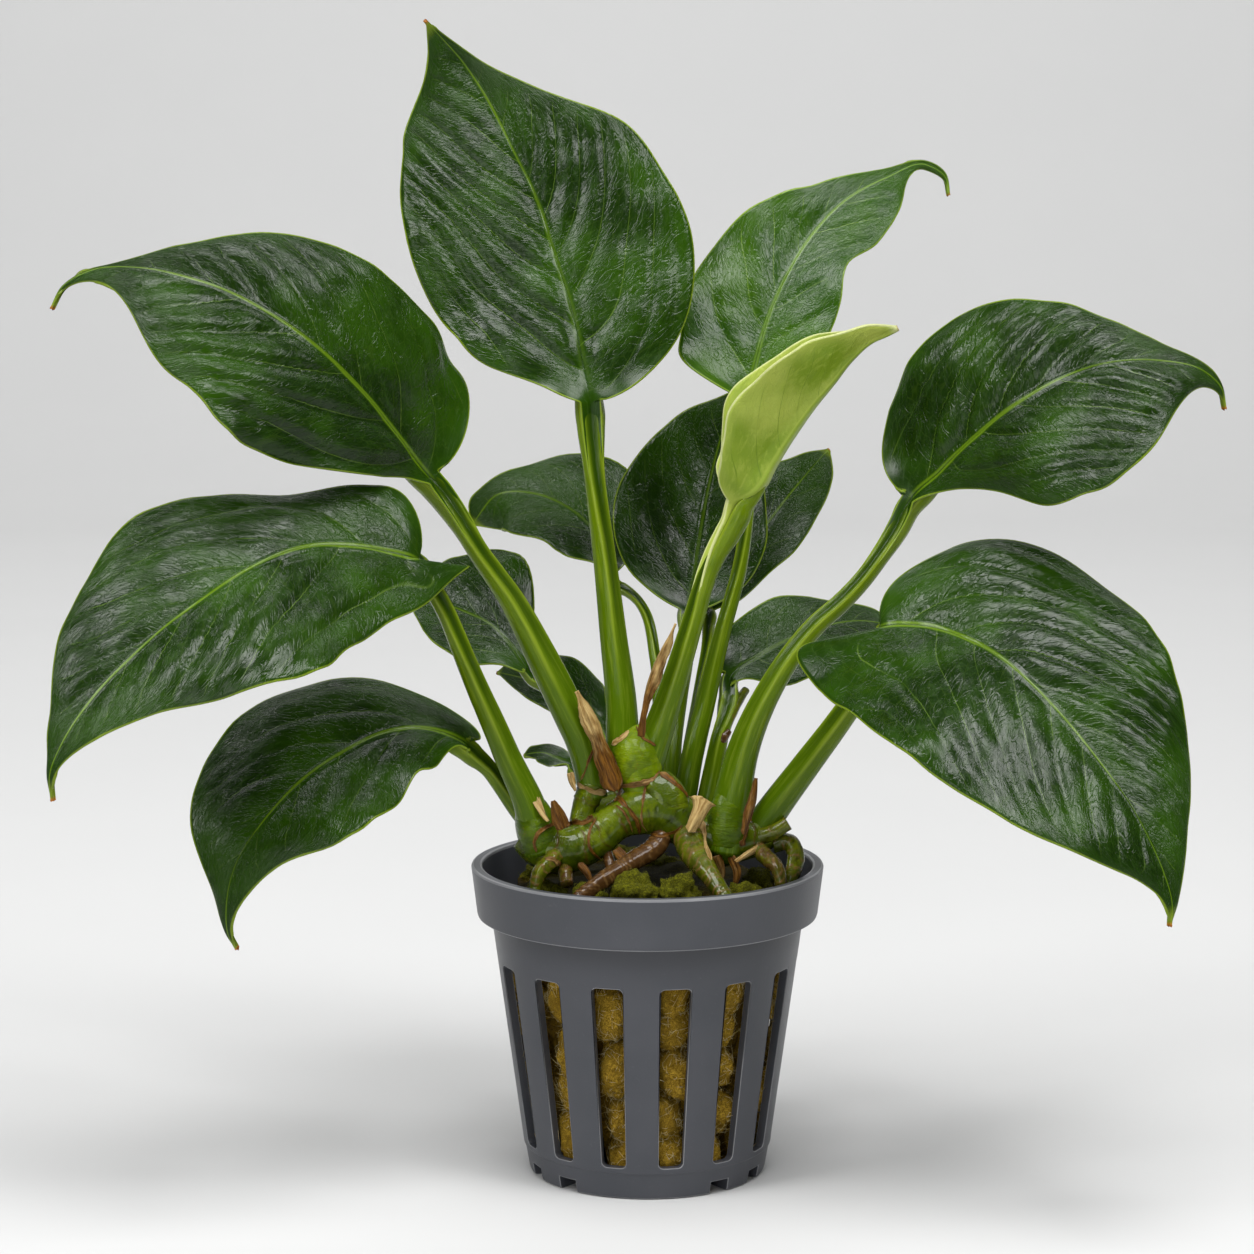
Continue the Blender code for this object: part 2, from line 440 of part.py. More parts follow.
def pot_profile():
    """The pot's section from the middle of its floor up the inside, over the lip and down the outside."""
    inner_foot = WALL_FOOT_RADIUS - WALL
    inner_top = WALL_TOP_RADIUS - WALL
    lip_inside = RIM_RADIUS - LIP_WIDTH
    return (
        (0, FLOOR), (inner_foot - 1.2, FLOOR), (inner_foot, WALL_FOOT), (inner_top, BAND_FOOT - 0.6),
        (lip_inside - 0.9, BAND_FOOT + 0.4), (lip_inside, POT_HEIGHT - 0.3), (lip_inside + 0.3, POT_HEIGHT),
        (RIM_RADIUS - 0.3, POT_HEIGHT), (RIM_RADIUS, POT_HEIGHT - 0.3), (BAND_FOOT_RADIUS, BAND_FOOT + 0.5),
        (BAND_FOOT_RADIUS - 0.4, BAND_FOOT), (WALL_TOP_RADIUS + 0.3, BAND_FOOT - 0.1),
        (WALL_TOP_RADIUS, BAND_FOOT - 0.5), (WALL_FOOT_RADIUS, WALL_FOOT),
        (WALL_FOOT_RADIUS - 0.2, WALL_FOOT - 0.2), (BASE_RADIUS, 0.5), (BASE_RADIUS - 0.4, 0), (0, 0),
    )


def turned(name, profile, steps, collection, finish):
    """A profile screwed about the Z axis into a closed solid."""
    mesh = bpy.data.meshes.new(name)
    points = [(radius * MM, 0, height * MM) for radius, height in profile]
    mesh.from_pydata(points, [(i, i + 1) for i in range(len(points) - 1)], [])
    item = mesh_object(name, mesh, collection, finish)
    screw = item.modifiers.new("turn", "SCREW")
    screw.angle = 2 * math.pi
    screw.steps = steps
    screw.render_steps = steps
    screw.use_merge_vertices = True
    screw.merge_threshold = 0.00001
    screw.use_smooth_shade = True
    return item


def radial_bars(name, angles, near, far, foot, top, foot_width, top_width, corner, collection):
    """Bars that point out from the axis, at angles counted from the front towards the right."""
    form = bmesh.new()
    for angle in angles:
        made = bmesh.ops.create_cube(form, size=1.0)["verts"]
        for point in made:
            width = top_width if point.co.z > 0 else foot_width
            height = top if point.co.z > 0 else foot
            reach = far if point.co.y < 0 else near
            point.co = (math.copysign(width / 2, point.co.x) * MM, -reach * MM, height * MM)
        if corner:
            long_edges = [edge for edge in form.edges if edge.verts[0] in made
                          and abs(edge.verts[0].co.y - edge.verts[1].co.y) > MM]
            made = bmesh.ops.bevel(form, geom=long_edges, offset=corner * MM, segments=1, profile=0.5,
                                   affect="EDGES")["verts"]
        loose = set(made)
        for face in form.faces:
            if loose & set(face.verts):
                loose.update(face.verts)
        turn = math.radians(angle)
        for point in loose:
            x, y = point.co.x, point.co.y
            point.co.x = x * math.cos(turn) - y * math.sin(turn)
            point.co.y = x * math.sin(turn) + y * math.cos(turn)
    mesh = bpy.data.meshes.new(name)
    form.to_mesh(mesh)
    form.free()
    return cutter(mesh_object(name, mesh, collection))


def build_pot(parts, cutters):
    plastic = material("pot_plastic", (0.13, 0.135, 0.15), 0.42)
    pot = turned("pot", pot_profile(), POT_STEPS, parts, plastic)
    angles = [FIRST_SLOT + SLOT_PITCH * k for k in range(SLOT_COUNT)]
    slots = radial_bars("slot_cutter", angles, WALL_FOOT_RADIUS - 4, RIM_RADIUS, SLOT_FOOT, SLOT_TOP,
                        SLOT_FOOT_WIDTH, SLOT_TOP_WIDTH, SLOT_CORNER, cutters)
    drains = radial_bars("drain_cutter", [angles[k] for k in DRAIN_SLOTS], DRAIN_START, RIM_RADIUS, -1,
                         DRAIN_HEIGHT + 0.4, DRAIN_WIDTH, DRAIN_WIDTH, 0, cutters)
    cut(pot, (slots, drains))


def wool_radius(height):
    """The wool's outer radius, a gap inside the pot's wall."""
    share = (height - WALL_FOOT) / (BAND_FOOT - WALL_FOOT)
    inside = WALL_FOOT_RADIUS + share * (WALL_TOP_RADIUS - WALL_FOOT_RADIUS) - WALL
    return min(inside, WALL_TOP_RADIUS - WALL) - GAP


def build_wool(parts):
    """A plug of matted lumps, one column of them behind each slot."""
    wool = material("mineral_wool", (0.36, 0.25, 0.05), 0.95)
    form = bmesh.new()
    columns = SLOT_COUNT * 2
    rings = []
    foot = FLOOR + GAP
    for row in range(WOOL_ROWS + 1):
        height = foot + (WOOL_TOP - foot) * row / WOOL_ROWS
        ring = []
        for column in range(columns):
            angle = math.radians(FIRST_SLOT + 360.0 * column / columns)
            lump = WOOL_LUMP * (1 + math.cos(math.pi * row + 2.0 * math.sin(7.0 * (column // 2))))
            radius = wool_radius(height) - lump - (0.5 if column % 2 else 0.0)
            if row in (0, WOOL_ROWS):
                radius -= 0.9
            across = radius * math.sin(angle) * MM
            ahead = -radius * math.cos(angle) * MM
            ring.append(form.verts.new((across, ahead, height * MM)))
        rings.append(ring)
    for low, high in zip(rings, rings[1:]):
        for i in range(columns):
            j = (i + 1) % columns
            form.faces.new((low[i], low[j], high[j], high[i]))
    for ring, height in ((rings[0], foot), (rings[-1], WOOL_TOP + WOOL_CROWN)):
        middle = form.verts.new((0, 0, height * MM))
        for i in range(columns):
            form.faces.new((ring[i], ring[(i + 1) % columns], middle))
    bmesh.ops.recalc_face_normals(form, faces=form.faces)
    mesh = bpy.data.meshes.new("wool")
    form.to_mesh(mesh)
    form.free()
    smooth_shade(mesh)
    return mesh_object("wool", mesh, parts, wool)


def build_rhizome(parts, cutters):
    """The main stem and its forks, each fork cut back to a gap from the main stem."""
    bark = material("rhizome_skin", (0.09, 0.14, 0.015), 0.35)
    spaces = {}
    for name, piece in RHIZOME.items():
        steps = 2 * (len(piece["path"]) - 1)
        item = tube(name, piece["path"], piece["radii"], steps, parts, bark, resolution=2)
        spaces[name] = cutter(tube(name + "_space", piece["path"], piece["radii"], steps, cutters,
                                   resolution=2, extra=GAP))
        if name != "rhizome":
            cut(item, (spaces["rhizome"],))
    return spaces


def build_roots(parts, cutters, rhizome_space):
    skin = material("root_skin", (0.16, 0.10, 0.03), 0.4)
    spaces = []
    for name, root in ROOTS.items():
        item = tube(name, root["path"], root["radii"], 6, parts, skin)
        cut(item, (rhizome_space,))
        spaces.append(cutter(tube(name + "_space", root["path"], root["radii"], 6, cutters, extra=GAP)))
    return spaces


def build_leaves(parts, rhizome_spaces):
    green = material("blade_green", GREEN, 0.3)
    young = material("young_blade_green", YOUNG_GREEN, 0.4)
    stem = material("stalk_green", STALK_GREEN, 0.35)
    for name, leaf in LEAVES.items():
        size = LARGE_BLADE if name in LARGE_LEAVES else SMALL_BLADE
        skin = young if name == "young" else green
        blade("leaf_" + name, leaf, size, BLADE_THICKNESS, parts, skin)
        stalk = tube("stalk_" + name, leaf["stalk"], leaf["radii"], STALK_STEPS, parts, stem)
        cut(stalk, rhizome_spaces.values())


def build_sheaths(parts):
    papery = material("papery_sheath", (0.42, 0.24, 0.09), 0.7)
    for name, sheath in SHEATHS.items():
        width = sheath["width"]
        widths = [width * share for share in (0.8, 0.9, 1, 1, 0.95, 0.85, 0.7, 0.45, 0.25)]
        leaf = dict(midrib=sheath["path"], faces=(sheath["faces"],) * 3, left=widths, right=widths,
                    fold=(-15, -15, -15), curl=(-30, -30), lobes=(0, 0), wave=(0, 1))
        blade(name, leaf, SHEATH_BLADE, SHEATH_THICKNESS, parts, papery)


def main():
    for item in list(bpy.data.objects):
        bpy.data.objects.remove(item)
    parts = bpy.data.collections.new("potted_anubias_barteri")
    cutters = bpy.data.collections.new("cutters")
    bpy.context.scene.collection.children.link(parts)
    bpy.context.scene.collection.children.link(cutters)
    build_pot(parts, cutters)
    wool = build_wool(parts)
    rhizome_spaces = build_rhizome(parts, cutters)
    root_spaces = build_roots(parts, cutters, rhizome_spaces["rhizome"])
    cut(wool, root_spaces)
    build_leaves(parts, rhizome_spaces)
    build_sheaths(parts)


main()
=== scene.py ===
"""Looks of the potted Anubias barteri: blades, stalks, rhizome, roots, sheaths, wool and net pot.

Lengths in the named values are in millimetres and angles in degrees, in the model's own frame.
"""

import math

import bmesh
import bpy
import numpy as np
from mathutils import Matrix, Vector
from mathutils.bvhtree import BVHTree


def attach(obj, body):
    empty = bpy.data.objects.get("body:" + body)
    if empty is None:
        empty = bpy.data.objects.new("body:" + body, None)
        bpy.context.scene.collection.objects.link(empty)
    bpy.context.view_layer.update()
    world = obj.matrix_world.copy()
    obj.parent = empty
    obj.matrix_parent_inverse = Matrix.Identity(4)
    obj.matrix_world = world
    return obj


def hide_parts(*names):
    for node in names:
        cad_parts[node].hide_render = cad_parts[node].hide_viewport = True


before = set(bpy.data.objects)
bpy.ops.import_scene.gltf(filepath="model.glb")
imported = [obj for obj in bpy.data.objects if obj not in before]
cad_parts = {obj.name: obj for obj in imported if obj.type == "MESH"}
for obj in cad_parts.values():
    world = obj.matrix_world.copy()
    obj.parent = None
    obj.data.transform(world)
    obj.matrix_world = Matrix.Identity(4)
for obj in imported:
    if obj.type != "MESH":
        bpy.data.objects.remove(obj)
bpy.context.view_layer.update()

MM = 0.001

# Net pot
POT_HEIGHT = 44.3
RIM_RADIUS = 25.0
LIP_WIDTH = 1.6
BAND_FOOT_RADIUS = 24.2
BAND_FOOT = 36.9
WALL_TOP_RADIUS = 22.1
WALL_FOOT_RADIUS = 17.7
WALL_FOOT = 4.0
BASE_RADIUS = 16.9
WALL = 1.3
FLOOR = 1.6
POT_STEPS = 210
SLOT_COUNT = 14
SLOT_PITCH = 360.0 / SLOT_COUNT
FIRST_SLOT = 10.3
SLOT_TOP = 30.9
SLOT_FOOT = 4.7
SLOT_TOP_WIDTH = 4.4
SLOT_FOOT_WIDTH = 3.4
SLOT_CORNER = 0.7
DRAIN_SLOTS = (1, 2, 4, 5, 8, 9, 11, 12)
DRAIN_WIDTH = 3.0
DRAIN_HEIGHT = 1.5
DRAIN_START = 9.0
WOOL_TOP = 42.6

# How far the pot's cut edges are rounded, and the corners in degrees that are rounded and that shade sharp
POT_BEVEL = 0.11
ROUNDED_CORNER = 50
SHARP_CORNER = 28

# Wool lumps behind the slots, and the fibres that stand off each lump
LUMP_HALF = (2.5, 2.5, 3.7)
LUMP_SPREAD = (0.86, 1.16)
LUMP_FOOT = 4.6
LUMP_END = 35
SLOT_FIBRES = 105
TOP_FIBRES = 100
FIBRE_RADIUS = 0.042
FIBRE_STEPS = 3

# Sides of each kind of tube, and points across a husk and a papery edge
STALK_SIDES = 34
STEM_SIDES = 60
ROOT_SIDES = 30
STUB_SIDES = 28
HUSK_COLUMNS = 43
EDGE_COLUMNS = 11

# Camera and studio, in metres
CAMERA_PLACE = (-0.0029, -0.45, 0.1386)
CAMERA_DOWN = 7.67
LENS = 92.61
SENSOR = 36.0
STAGE_HALF_WIDTH = 2.2
STAGE_FRONT = -1.6
SWEEP_START = 0.9
SWEEP_RADIUS = 0.5
STAGE_TOP = 1.9
PLANT_MIDDLE = (0, 0, 0.09)
LAMPS = {
    "middle_light": dict(place=(0.05, -0.3, 0.92), target=PLANT_MIDDLE, size=(0.42, 0.36), power=5.4),
    "left_light": dict(place=(-0.58, -0.34, 0.76), target=PLANT_MIDDLE, size=(0.4, 0.4), power=5),
    "right_light": dict(place=(0.52, -0.34, 0.78), target=PLANT_MIDDLE, size=(0.36, 0.36), power=3.9),
    "fill_light": dict(place=(-0.3, -0.95, 0.25), target=PLANT_MIDDLE, size=(0.5, 0.4), power=1.7),
    "backdrop_light": dict(place=(0.0, 0.55, 1.1), target=(0, 1.4, 0.25), size=(1.8, 0.2), power=10),
}

# Leaf blades
WIDTH_STATIONS = (0.0, 0.04, 0.12, 0.22, 0.34, 0.47, 0.6, 0.73, 0.86, 0.95, 1.0)
LOBE_STATION = 0.05  # how far along the blade its base lobes are longest
RIB_SPAN = 0.1  # share of the midrib, each way, that a rib is square to
LOBE_RISE = 0.4

# Each leaf has the blade's midrib from its stalk to its tip, and its half widths at the inner stations on
# the left and right as seen from above with the tip away. "faces" is where the upper side looks at
# the base, middle and tip. "fold" raises both halves from the midrib, "curl" turns each one further,
# "lobes" draws the two halves of the base back and "tuck" brings them in towards the stalk. A leaf without
# fold, curl, lobes or wave has those of SMALL_SHAPE.
SMALL_SHAPE = dict(fold=(12, 8, 12), curl=(-12, -12), lobes=(0, 0), wave=(0.6, 2.0))
LEAVES = {
    "top": dict(
        midrib=((-8.1, 4, 109.3), (-9.2, 6, 115), (-10.7, 8.5, 121.9), (-13.2, 11.3, 129.7),
                (-15.8, 13.9, 137.7), (-19.5, 16.4, 145.2), (-23.1, 18.3, 152.2), (-26.8, 18.4, 157.6),
                (-29.5, 16.9, 160.6), (-31.4, 15, 162.7)),
        faces=((0.1, -1, 0.1), (0.1, -1, 0.1), (0, -1, 0.2)),
        left=(5.8, 13.6, 17.2, 19.2, 19.8, 18.4, 15, 9.6, 2.6),
        right=(7.5, 13.8, 17.8, 19.8, 18.4, 15.4, 7.2, 1.9, 0.6),
        fold=(14, 10, 20), curl=(-14, -18), lobes=(0, 1), wave=(0.8, 2.5),
        stalk=((-3.5, -3.6, 61.2), (-3.7, -1.6, 67), (-4.8, 0.4, 76.2), (-6, 2, 86.7), (-7.3, 3, 97.6),
               (-8, 4, 108.2)),
        radii=(2.4, 1.9, 1.5, 1.45)),
    "upper_left": dict(
        midrib=((-30.2, -4, 99.4), (-34, -8, 104.9), (-38.4, -12, 111.3), (-44.4, -15, 117.8),
                (-51.5, -17, 123.1), (-59.3, -18, 126.8), (-67.4, -18, 128.5), (-74.4, -18, 128.2),
                (-78.2, -18, 126), (-79.7, -18, 123.3)),
        faces=((0.2, -0.8, 0.6), (0.1, -0.8, 0.6), (0, -0.8, 0.5)),
        left=(2.9, 6.9, 12.3, 17.3, 19.3, 16.2, 11.9, 2.8, 0.5),
        right=(12, 15.8, 17.2, 16.4, 14.7, 10.9, 4.3, 0.5, 0.2),
        fold=(12, 8, 15), curl=(-15, -20), lobes=(0, 1.5), wave=(0.8, 2.5),
        stalk=((-7.8, -4.7, 55.6), (-8.9, -4.5, 61.4), (-11.4, -4.5, 67.3), (-15.3, -4.3, 75.3),
               (-19, -4, 82.3), (-23.7, -4, 89.3), (-26.9, -4, 95.2), (-28.9, -4, 98.2)),
        radii=(2, 2.3, 2.3, 2, 1.6, 1.4, 1.35)),
    "mid_left": dict(
        midrib=((-31.2, -14, 88.8), (-37.4, -17.6, 91.1), (-44.9, -21.4, 91.7), (-53, -26.4, 89),
                (-60.1, -31.6, 84.7), (-66.7, -35.2, 79.4), (-72.1, -38.4, 73.9), (-75.6, -40.8, 68.3),
                (-77, -42, 64.3), (-76.9, -42, 61.1)),
        faces=((0, -0.8, 0.6), (-0.3, -0.8, 0.55), (-0.5, -0.75, 0.4)),
        left=(3, 10.4, 15.5, 18.2, 20.6, 15.8, 9.7, 4.8, 0.9),
        right=(8.8, 10.6, 9.5, 13.5, 17.7, 15.5, 10.4, 3.5, 0.9),
        fold=(10, 8, 15), curl=(-20, -15), lobes=(10, 1), tuck=0.36, wave=(0.9, 2.5),
        stalk=((-14.9, -8.8, 48.8), (-17, -9, 55.7), (-19, -9, 59.9), (-21.3, -9.5, 65.5),
               (-23.6, -10, 70.9), (-25.7, -11, 76.4), (-27.5, -10.5, 80.9), (-29.3, -11, 84.6),
               (-30.8, -11.8, 87.4)),
        radii=(2.7, 2.1, 1.8, 1.6, 1.4, 1.3, 1.25)),
    "lower_left": dict(
        midrib=((-25, -8, 62.5), (-29.7, -9.6, 64.8), (-35.8, -12.3, 65), (-42.1, -16.3, 62.7),
                (-47.6, -20.4, 59.3), (-51.9, -24.4, 54.5), (-55.1, -26.9, 49.3), (-56.3, -28.4, 44.1),
                (-56.1, -28.9, 40.6), (-55.2, -28, 38.2)),
        faces=((0, -0.65, 0.75), (-0.2, -0.7, 0.7), (-0.5, -0.8, 0.3)),
        left=(1, 6.2, 8.5, 11.7, 13.6, 12.3, 6.4, 2.8, 0.5),
        right=(2.6, 6, 11.3, 14.6, 15.8, 13.9, 9.3, 2.4, 0.7),
        fold=(10, 8, 15), curl=(-15, -20), lobes=(1, 3), wave=(0.8, 2.5),
        stalk=((-14.4, -5.6, 48.4), (-17.9, -5, 52.5), (-20.7, -6, 56.8), (-22.8, -7.4, 60),
               (-24.4, -8, 62)),
        radii=(1.5, 1.1)),
    "upper_right": dict(
        midrib=((14.5, 14, 108.8), (15.5, 16, 113.7), (17.2, 18.8, 119.6), (20.2, 22.5, 126.2),
                (24.2, 26.2, 132.4), (29.5, 29.8, 137.6), (35.8, 33.2, 140.8), (41.6, 36.1, 142.7),
                (44.7, 37, 140.8), (45.3, 37, 138.2)),
        faces=((0, -1, 0.2), (-0.1, -1, 0.3), (0, -1, 0.3)),
        left=(9.4, 11.6, 12.5, 11.7, 9.2, 4.7, 2.4, 0.7, 0.5),
        right=(4.3, 7.5, 9.2, 9, 7, 8.3, 5.8, 0.9, 0.5),
        fold=(15, 12, 20), curl=(-10, -15), lobes=(0, 0), wave=(0.8, 2.5),
        stalk=((5.5, 2, 54.3), (6.4, 3, 59), (7.8, 5, 64.2), (10.7, 8, 75.8), (13.4, 11, 85.5),
               (14.6, 13, 96.2), (14.4, 14, 104.7)),
        radii=(1.7, 1.3, 1.0, 0.9)),
    "young": dict(
        midrib=((11.8, -3, 95.5), (14.4, -3.5, 97.8), (16.6, -4, 101.3), (19.1, -4.7, 105.4),
                (21.8, -5.5, 109.4), (24.8, -6.4, 113.1), (27.5, -7.1, 116.5), (30.3, -8, 118.9),
                (32.5, -8, 119.8), (34, -8, 120.5)),
        faces=((-0.75, -0.1, 0.6), (-0.75, -0.1, 0.6), (-0.6, -0.2, 0.8)),
        left=(4.7, 7, 8.3, 9.5, 9.3, 7.7, 5.5, 2.2, 0.7),
        right=(4.4, 7.1, 8.5, 9.6, 9.6, 9.2, 7.2, 3.2, 1.4),
        fold=(65, 65, 50), curl=(5, 5), lobes=(0, 0), wave=(0.2, 2.0),
        stalk=((-0.4, -4, 58.6), (0.9, -3.6, 62.1), (3.4, -3.4, 69.5), (6.5, -3, 79.7), (9.5, -3, 89.5),
               (11.7, -3, 94.5)),
        radii=(2.5, 1.8, 1.4, 1.1)),
    "right": dict(
        midrib=((36.6, -4, 96.6), (40.3, -6, 100.4), (44.5, -9, 105.1), (49.7, -12, 110.1),
                (55.7, -14, 113.6), (62.5, -15, 115.8), (69.2, -15, 116.1), (74.9, -14, 114.7),
                (77.6, -13, 112.2), (78.2, -13, 109.6)),
        faces=((-0.2, -0.75, 0.65), (0, -0.75, 0.65), (0.2, -0.8, 0.5)),
        left=(8.1, 14.9, 17.6, 18.6, 15, 10.1, 4.5, 1.3, 0.5),
        right=(1.8, 3.9, 8.8, 16.4, 18.2, 17.4, 13.4, 4, 0.8),
        fold=(12, 8, 15), curl=(-15, -20), lobes=(2, 0), wave=(0.8, 2.5),
        stalk=((10.8, -6.4, 48.2), (11.8, -6, 54.4), (13.6, -6, 62.2), (17.4, -6, 70.7), (22.5, -5.5, 78),
               (28.9, -5, 84.1), (33.5, -4.3, 90.7), (36.1, -4, 96)),
        radii=(3.1, 2.2, 1.55, 1.3, 1.2)),
    "lower_right": dict(
        midrib=((31.4, -16, 79.9), (37.3, -18.4, 80.6), (43.8, -23.2, 78.8), (49.9, -29, 74.6),
                (55.2, -33.6, 69.2), (59.8, -37.8, 63.3), (63.5, -41, 57.4), (66, -43.1, 51.9),
                (67, -44.3, 48.1), (66.9, -45, 45.4)),
        faces=((0, -0.7, 0.7), (0.2, -0.8, 0.5), (0.5, -0.8, 0.3)),
        left=(8.7, 15.7, 19.6, 20.5, 19.3, 15.8, 11.3, 4.8, 1.3),
        right=(5.4, 13.8, 18.3, 20.4, 19.8, 17.3, 13.9, 6.7, 1.4),
        fold=(10, 8, 15), curl=(-20, -20), lobes=(1, 13), wave=(0.9, 2.5),
        stalk=((15.4, -4, 49.4), (17.9, -5, 53.3), (22, -7, 59.4), (27.3, -9, 67.2), (31.1, -12.3, 74.2),
               (32.3, -14, 78.2)),
        radii=(2.4, 1.8, 1.4)),
    "back_centre": dict(
        midrib=((6.1, 22, 77.3), (7.2, 25.5, 83.6), (8.3, 28.9, 90.1), (9.7, 32.9, 96.5),
                (11.5, 35.9, 102.9), (13.9, 38, 109.3)),
        faces=((0, -1, 0.2), (0.1, -1, 0.2), (0.1, -1, 0.3)),
        left=(5.4, 9.6, 12.1, 13.4, 13.3, 11.6, 9.1, 5.5, 1.8), right=(4, 7, 9, 10, 9.5, 8.5, 7.2, 5, 2.5),
        fold=(12, 10, 15),
        stalk=((3.5, 4, 53.9), (3.6, 7, 59.2), (4.6, 12, 65.7), (5.8, 18, 72.2), (6.1, 21.7, 77.1)),
        radii=(1.4, 1.1)),
    "back_left": dict(
        midrib=((-5.1, 27, 82.3), (-7.3, 30.6, 87.4), (-11.5, 34.5, 91.2), (-17, 37.6, 93.4),
                (-23, 40.4, 92.8), (-26.6, 41, 88.2)),
        faces=((0.1, -0.9, 0.4), (0.1, -0.8, 0.6), (0, -0.8, 0.6)),
        left=(1.1, 4.8, 6.5, 7, 7.8, 8.4, 7.5, 6.3, 3.2), right=(3, 6, 8.5, 10.8, 10.6, 8.4, 4.6, 2.5, 1.8),
        stalk=((1.5, 5.5, 52.5), (1.7, 10, 62), (1.2, 17, 71), (-1, 23.5, 78.4), (-3.4, 26, 80.4),
               (-5, 26.8, 81.3)),
        radii=(1, 0.7)),
    "back_right": dict(
        midrib=((8.8, 30, 76.2), (12.5, 33.6, 80.8), (16.1, 37.1, 85.6), (19.8, 40.5, 90.3),
                (23.9, 43.6, 94.9), (28.2, 46, 99.5)),
        faces=((0, -1, 0.3), (-0.1, -1, 0.3), (-0.1, -1, 0.3)),
        left=(3, 6, 8, 9, 9, 8, 6.5, 3.5, 1.5), right=(1.5, 3, 3.8, 4.8, 6, 6, 5.4, 4.2, 2),
        stalk=((5, 6, 53.6), (6.2, 10, 59.4), (7.8, 18, 66.2), (8.9, 24, 71.3), (9.4, 29.3, 76.3)),
        radii=(1.0, 0.8)),
    "inner_right": dict(
        midrib=((11.9, 8, 69.5), (16.1, 11, 72.3), (20.8, 14, 74.4), (25.8, 17, 75.7), (31.2, 20, 76.1),
                (36.7, 22, 75.3)),
        faces=((0, -0.9, 0.4), (0, -0.8, 0.6), (0, -0.7, 0.7)),
        left=(4, 5.6, 6.3, 6.8, 6.9, 5.6, 3.8, 2.9, 1.6), right=(1, 2, 5.5, 6.9, 7.4, 6.8, 5.4, 3.7, 1.6),
        lobes=(1, 2),
        stalk=((8.4, 1, 52.1), (9.4, 2, 57.2), (10.6, 4, 62.7), (11.3, 5.2, 65.2), (11.7, 6.1, 66.8)),
        radii=(1.6, 1.3, 1.0)),
    "inner_left": dict(
        midrib=((-17.3, 13, 70.2), (-19.8, 15.1, 73.3), (-22.9, 17.1, 76), (-26.7, 18.9, 77.7),
                (-30.7, 21.2, 79), (-34.7, 23, 80.4)),
        faces=((0.1, -0.8, 0.6), (0.1, -0.8, 0.6), (0.1, -0.8, 0.6)),
        left=(1.5, 3.1, 6, 7, 7.6, 7.5, 6, 4, 2), right=(2, 3, 4, 7.5, 11.6, 12.2, 11.8, 8.2, 4.4),
        lobes=(1, 2),
        stalk=((-7.5, 5, 51.8), (-7.9, 4.5, 55.4), (-8.5, 5.5, 59.6), (-10.8, 8, 64.2),
               (-13.7, 11, 67.3), (-16.5, 12.7, 69.2)),
        radii=(1, 0.9, 0.8)),
    "small_left": dict(
        midrib=((-6.3, 18, 61.5), (-8.9, 20.9, 63.4), (-12, 23.3, 64.9), (-15.3, 25.6, 65.9),
                (-18.8, 28.1, 66.6), (-22.5, 30, 67.1)),
        faces=((0.1, -0.8, 0.6), (0.1, -0.8, 0.6), (0.1, -0.8, 0.6)),
        left=(1.2, 2.7, 3.5, 3.5, 3.9, 3.9, 2.8, 1.6, 0.6), right=(1, 2.3, 4.3, 5.1, 5.7, 5.8, 5.5, 3.9, 2.3),
        wave=(0.5, 2.0),
        stalk=((-4.5, 6, 51.8), (-5.2, 9, 56.1), (-5.8, 13, 58.9), (-6.3, 17.3, 61.2)),
        radii=(0.9, 0.7)),
    "smallest": dict(
        midrib=((-10.9, 14, 55.8), (-12.3, 16.1, 56.1), (-13.7, 18.3, 56.3), (-15.2, 21, 56.3),
                (-16.7, 22.8, 56), (-18.3, 24, 55.5)),
        faces=((0.1, -0.8, 0.6), (0.1, -0.8, 0.6), (0.1, -0.8, 0.6)),
        left=(0.6, 1.7, 1.7, 1.4, 1.5, 1.9, 1.3, 0.8, 0.3), right=(0.8, 1.3, 1.7, 2, 2.2, 2.4, 2.2, 1.3, 0.8),
        wave=(0.3, 2.0),
        stalk=((-7.2, 6, 51.6), (-9.1, 9, 53.2), (-10.8, 13.3, 55.4)),
        radii=(0.8, 0.6)),
}

# Rhizome pieces: the path of each and its radius along it
RHIZOME = {
    "rhizome": dict(
        path=((-17.4, -7.6, 49.8), (-16, -7.8, 48.8), (-13.8, -8.2, 47.9), (-11.4, -8.5, 47.8),
              (-8.2, -8.2, 49), (-5.6, -7.6, 50.8), (-3, -6.8, 52.3), (-0.4, -5.8, 53), (2.8, -5.6, 52.6),
              (5, -5.6, 51), (7.6, -5.8, 49.4), (10.9, -6, 48.7), (14.4, -5.2, 48.8), (17.8, -4, 49.4)),
        radii=(2.2, 3.0, 3.2, 3.1, 2.9, 2.7, 3.4, 3.6, 3.4, 3.0, 3.0, 3.1, 2.6, 1.8)),
    "rhizome_crown": dict(
        path=((-0.6, -5, 54), (-1, -4.8, 57), (-1.3, -4.4, 59.4), (-1.5, -3.2, 61.4), (-1.8, -2, 62.8)),
        radii=(2.7, 2.9, 3.1, 2.9, 2.2)),
    "rhizome_fork": dict(
        path=((-9, -7.4, 49.6), (-9.4, -6.6, 51.4), (-9, -5.8, 53.2), (-8.2, -5, 55.2), (-7.9, -4.8, 56.4)),
        radii=(1.6, 1.5, 1.5, 1.7, 2.0)),
    "rhizome_back": dict(
        path=((3.2, -3, 51.4), (3.5, 2, 51), (1, 5, 51.2), (-3.5, 6, 51.2), (-8, 5.2, 51)),
        radii=(2.2, 2.7, 2.7, 2.5, 1.6)),
}

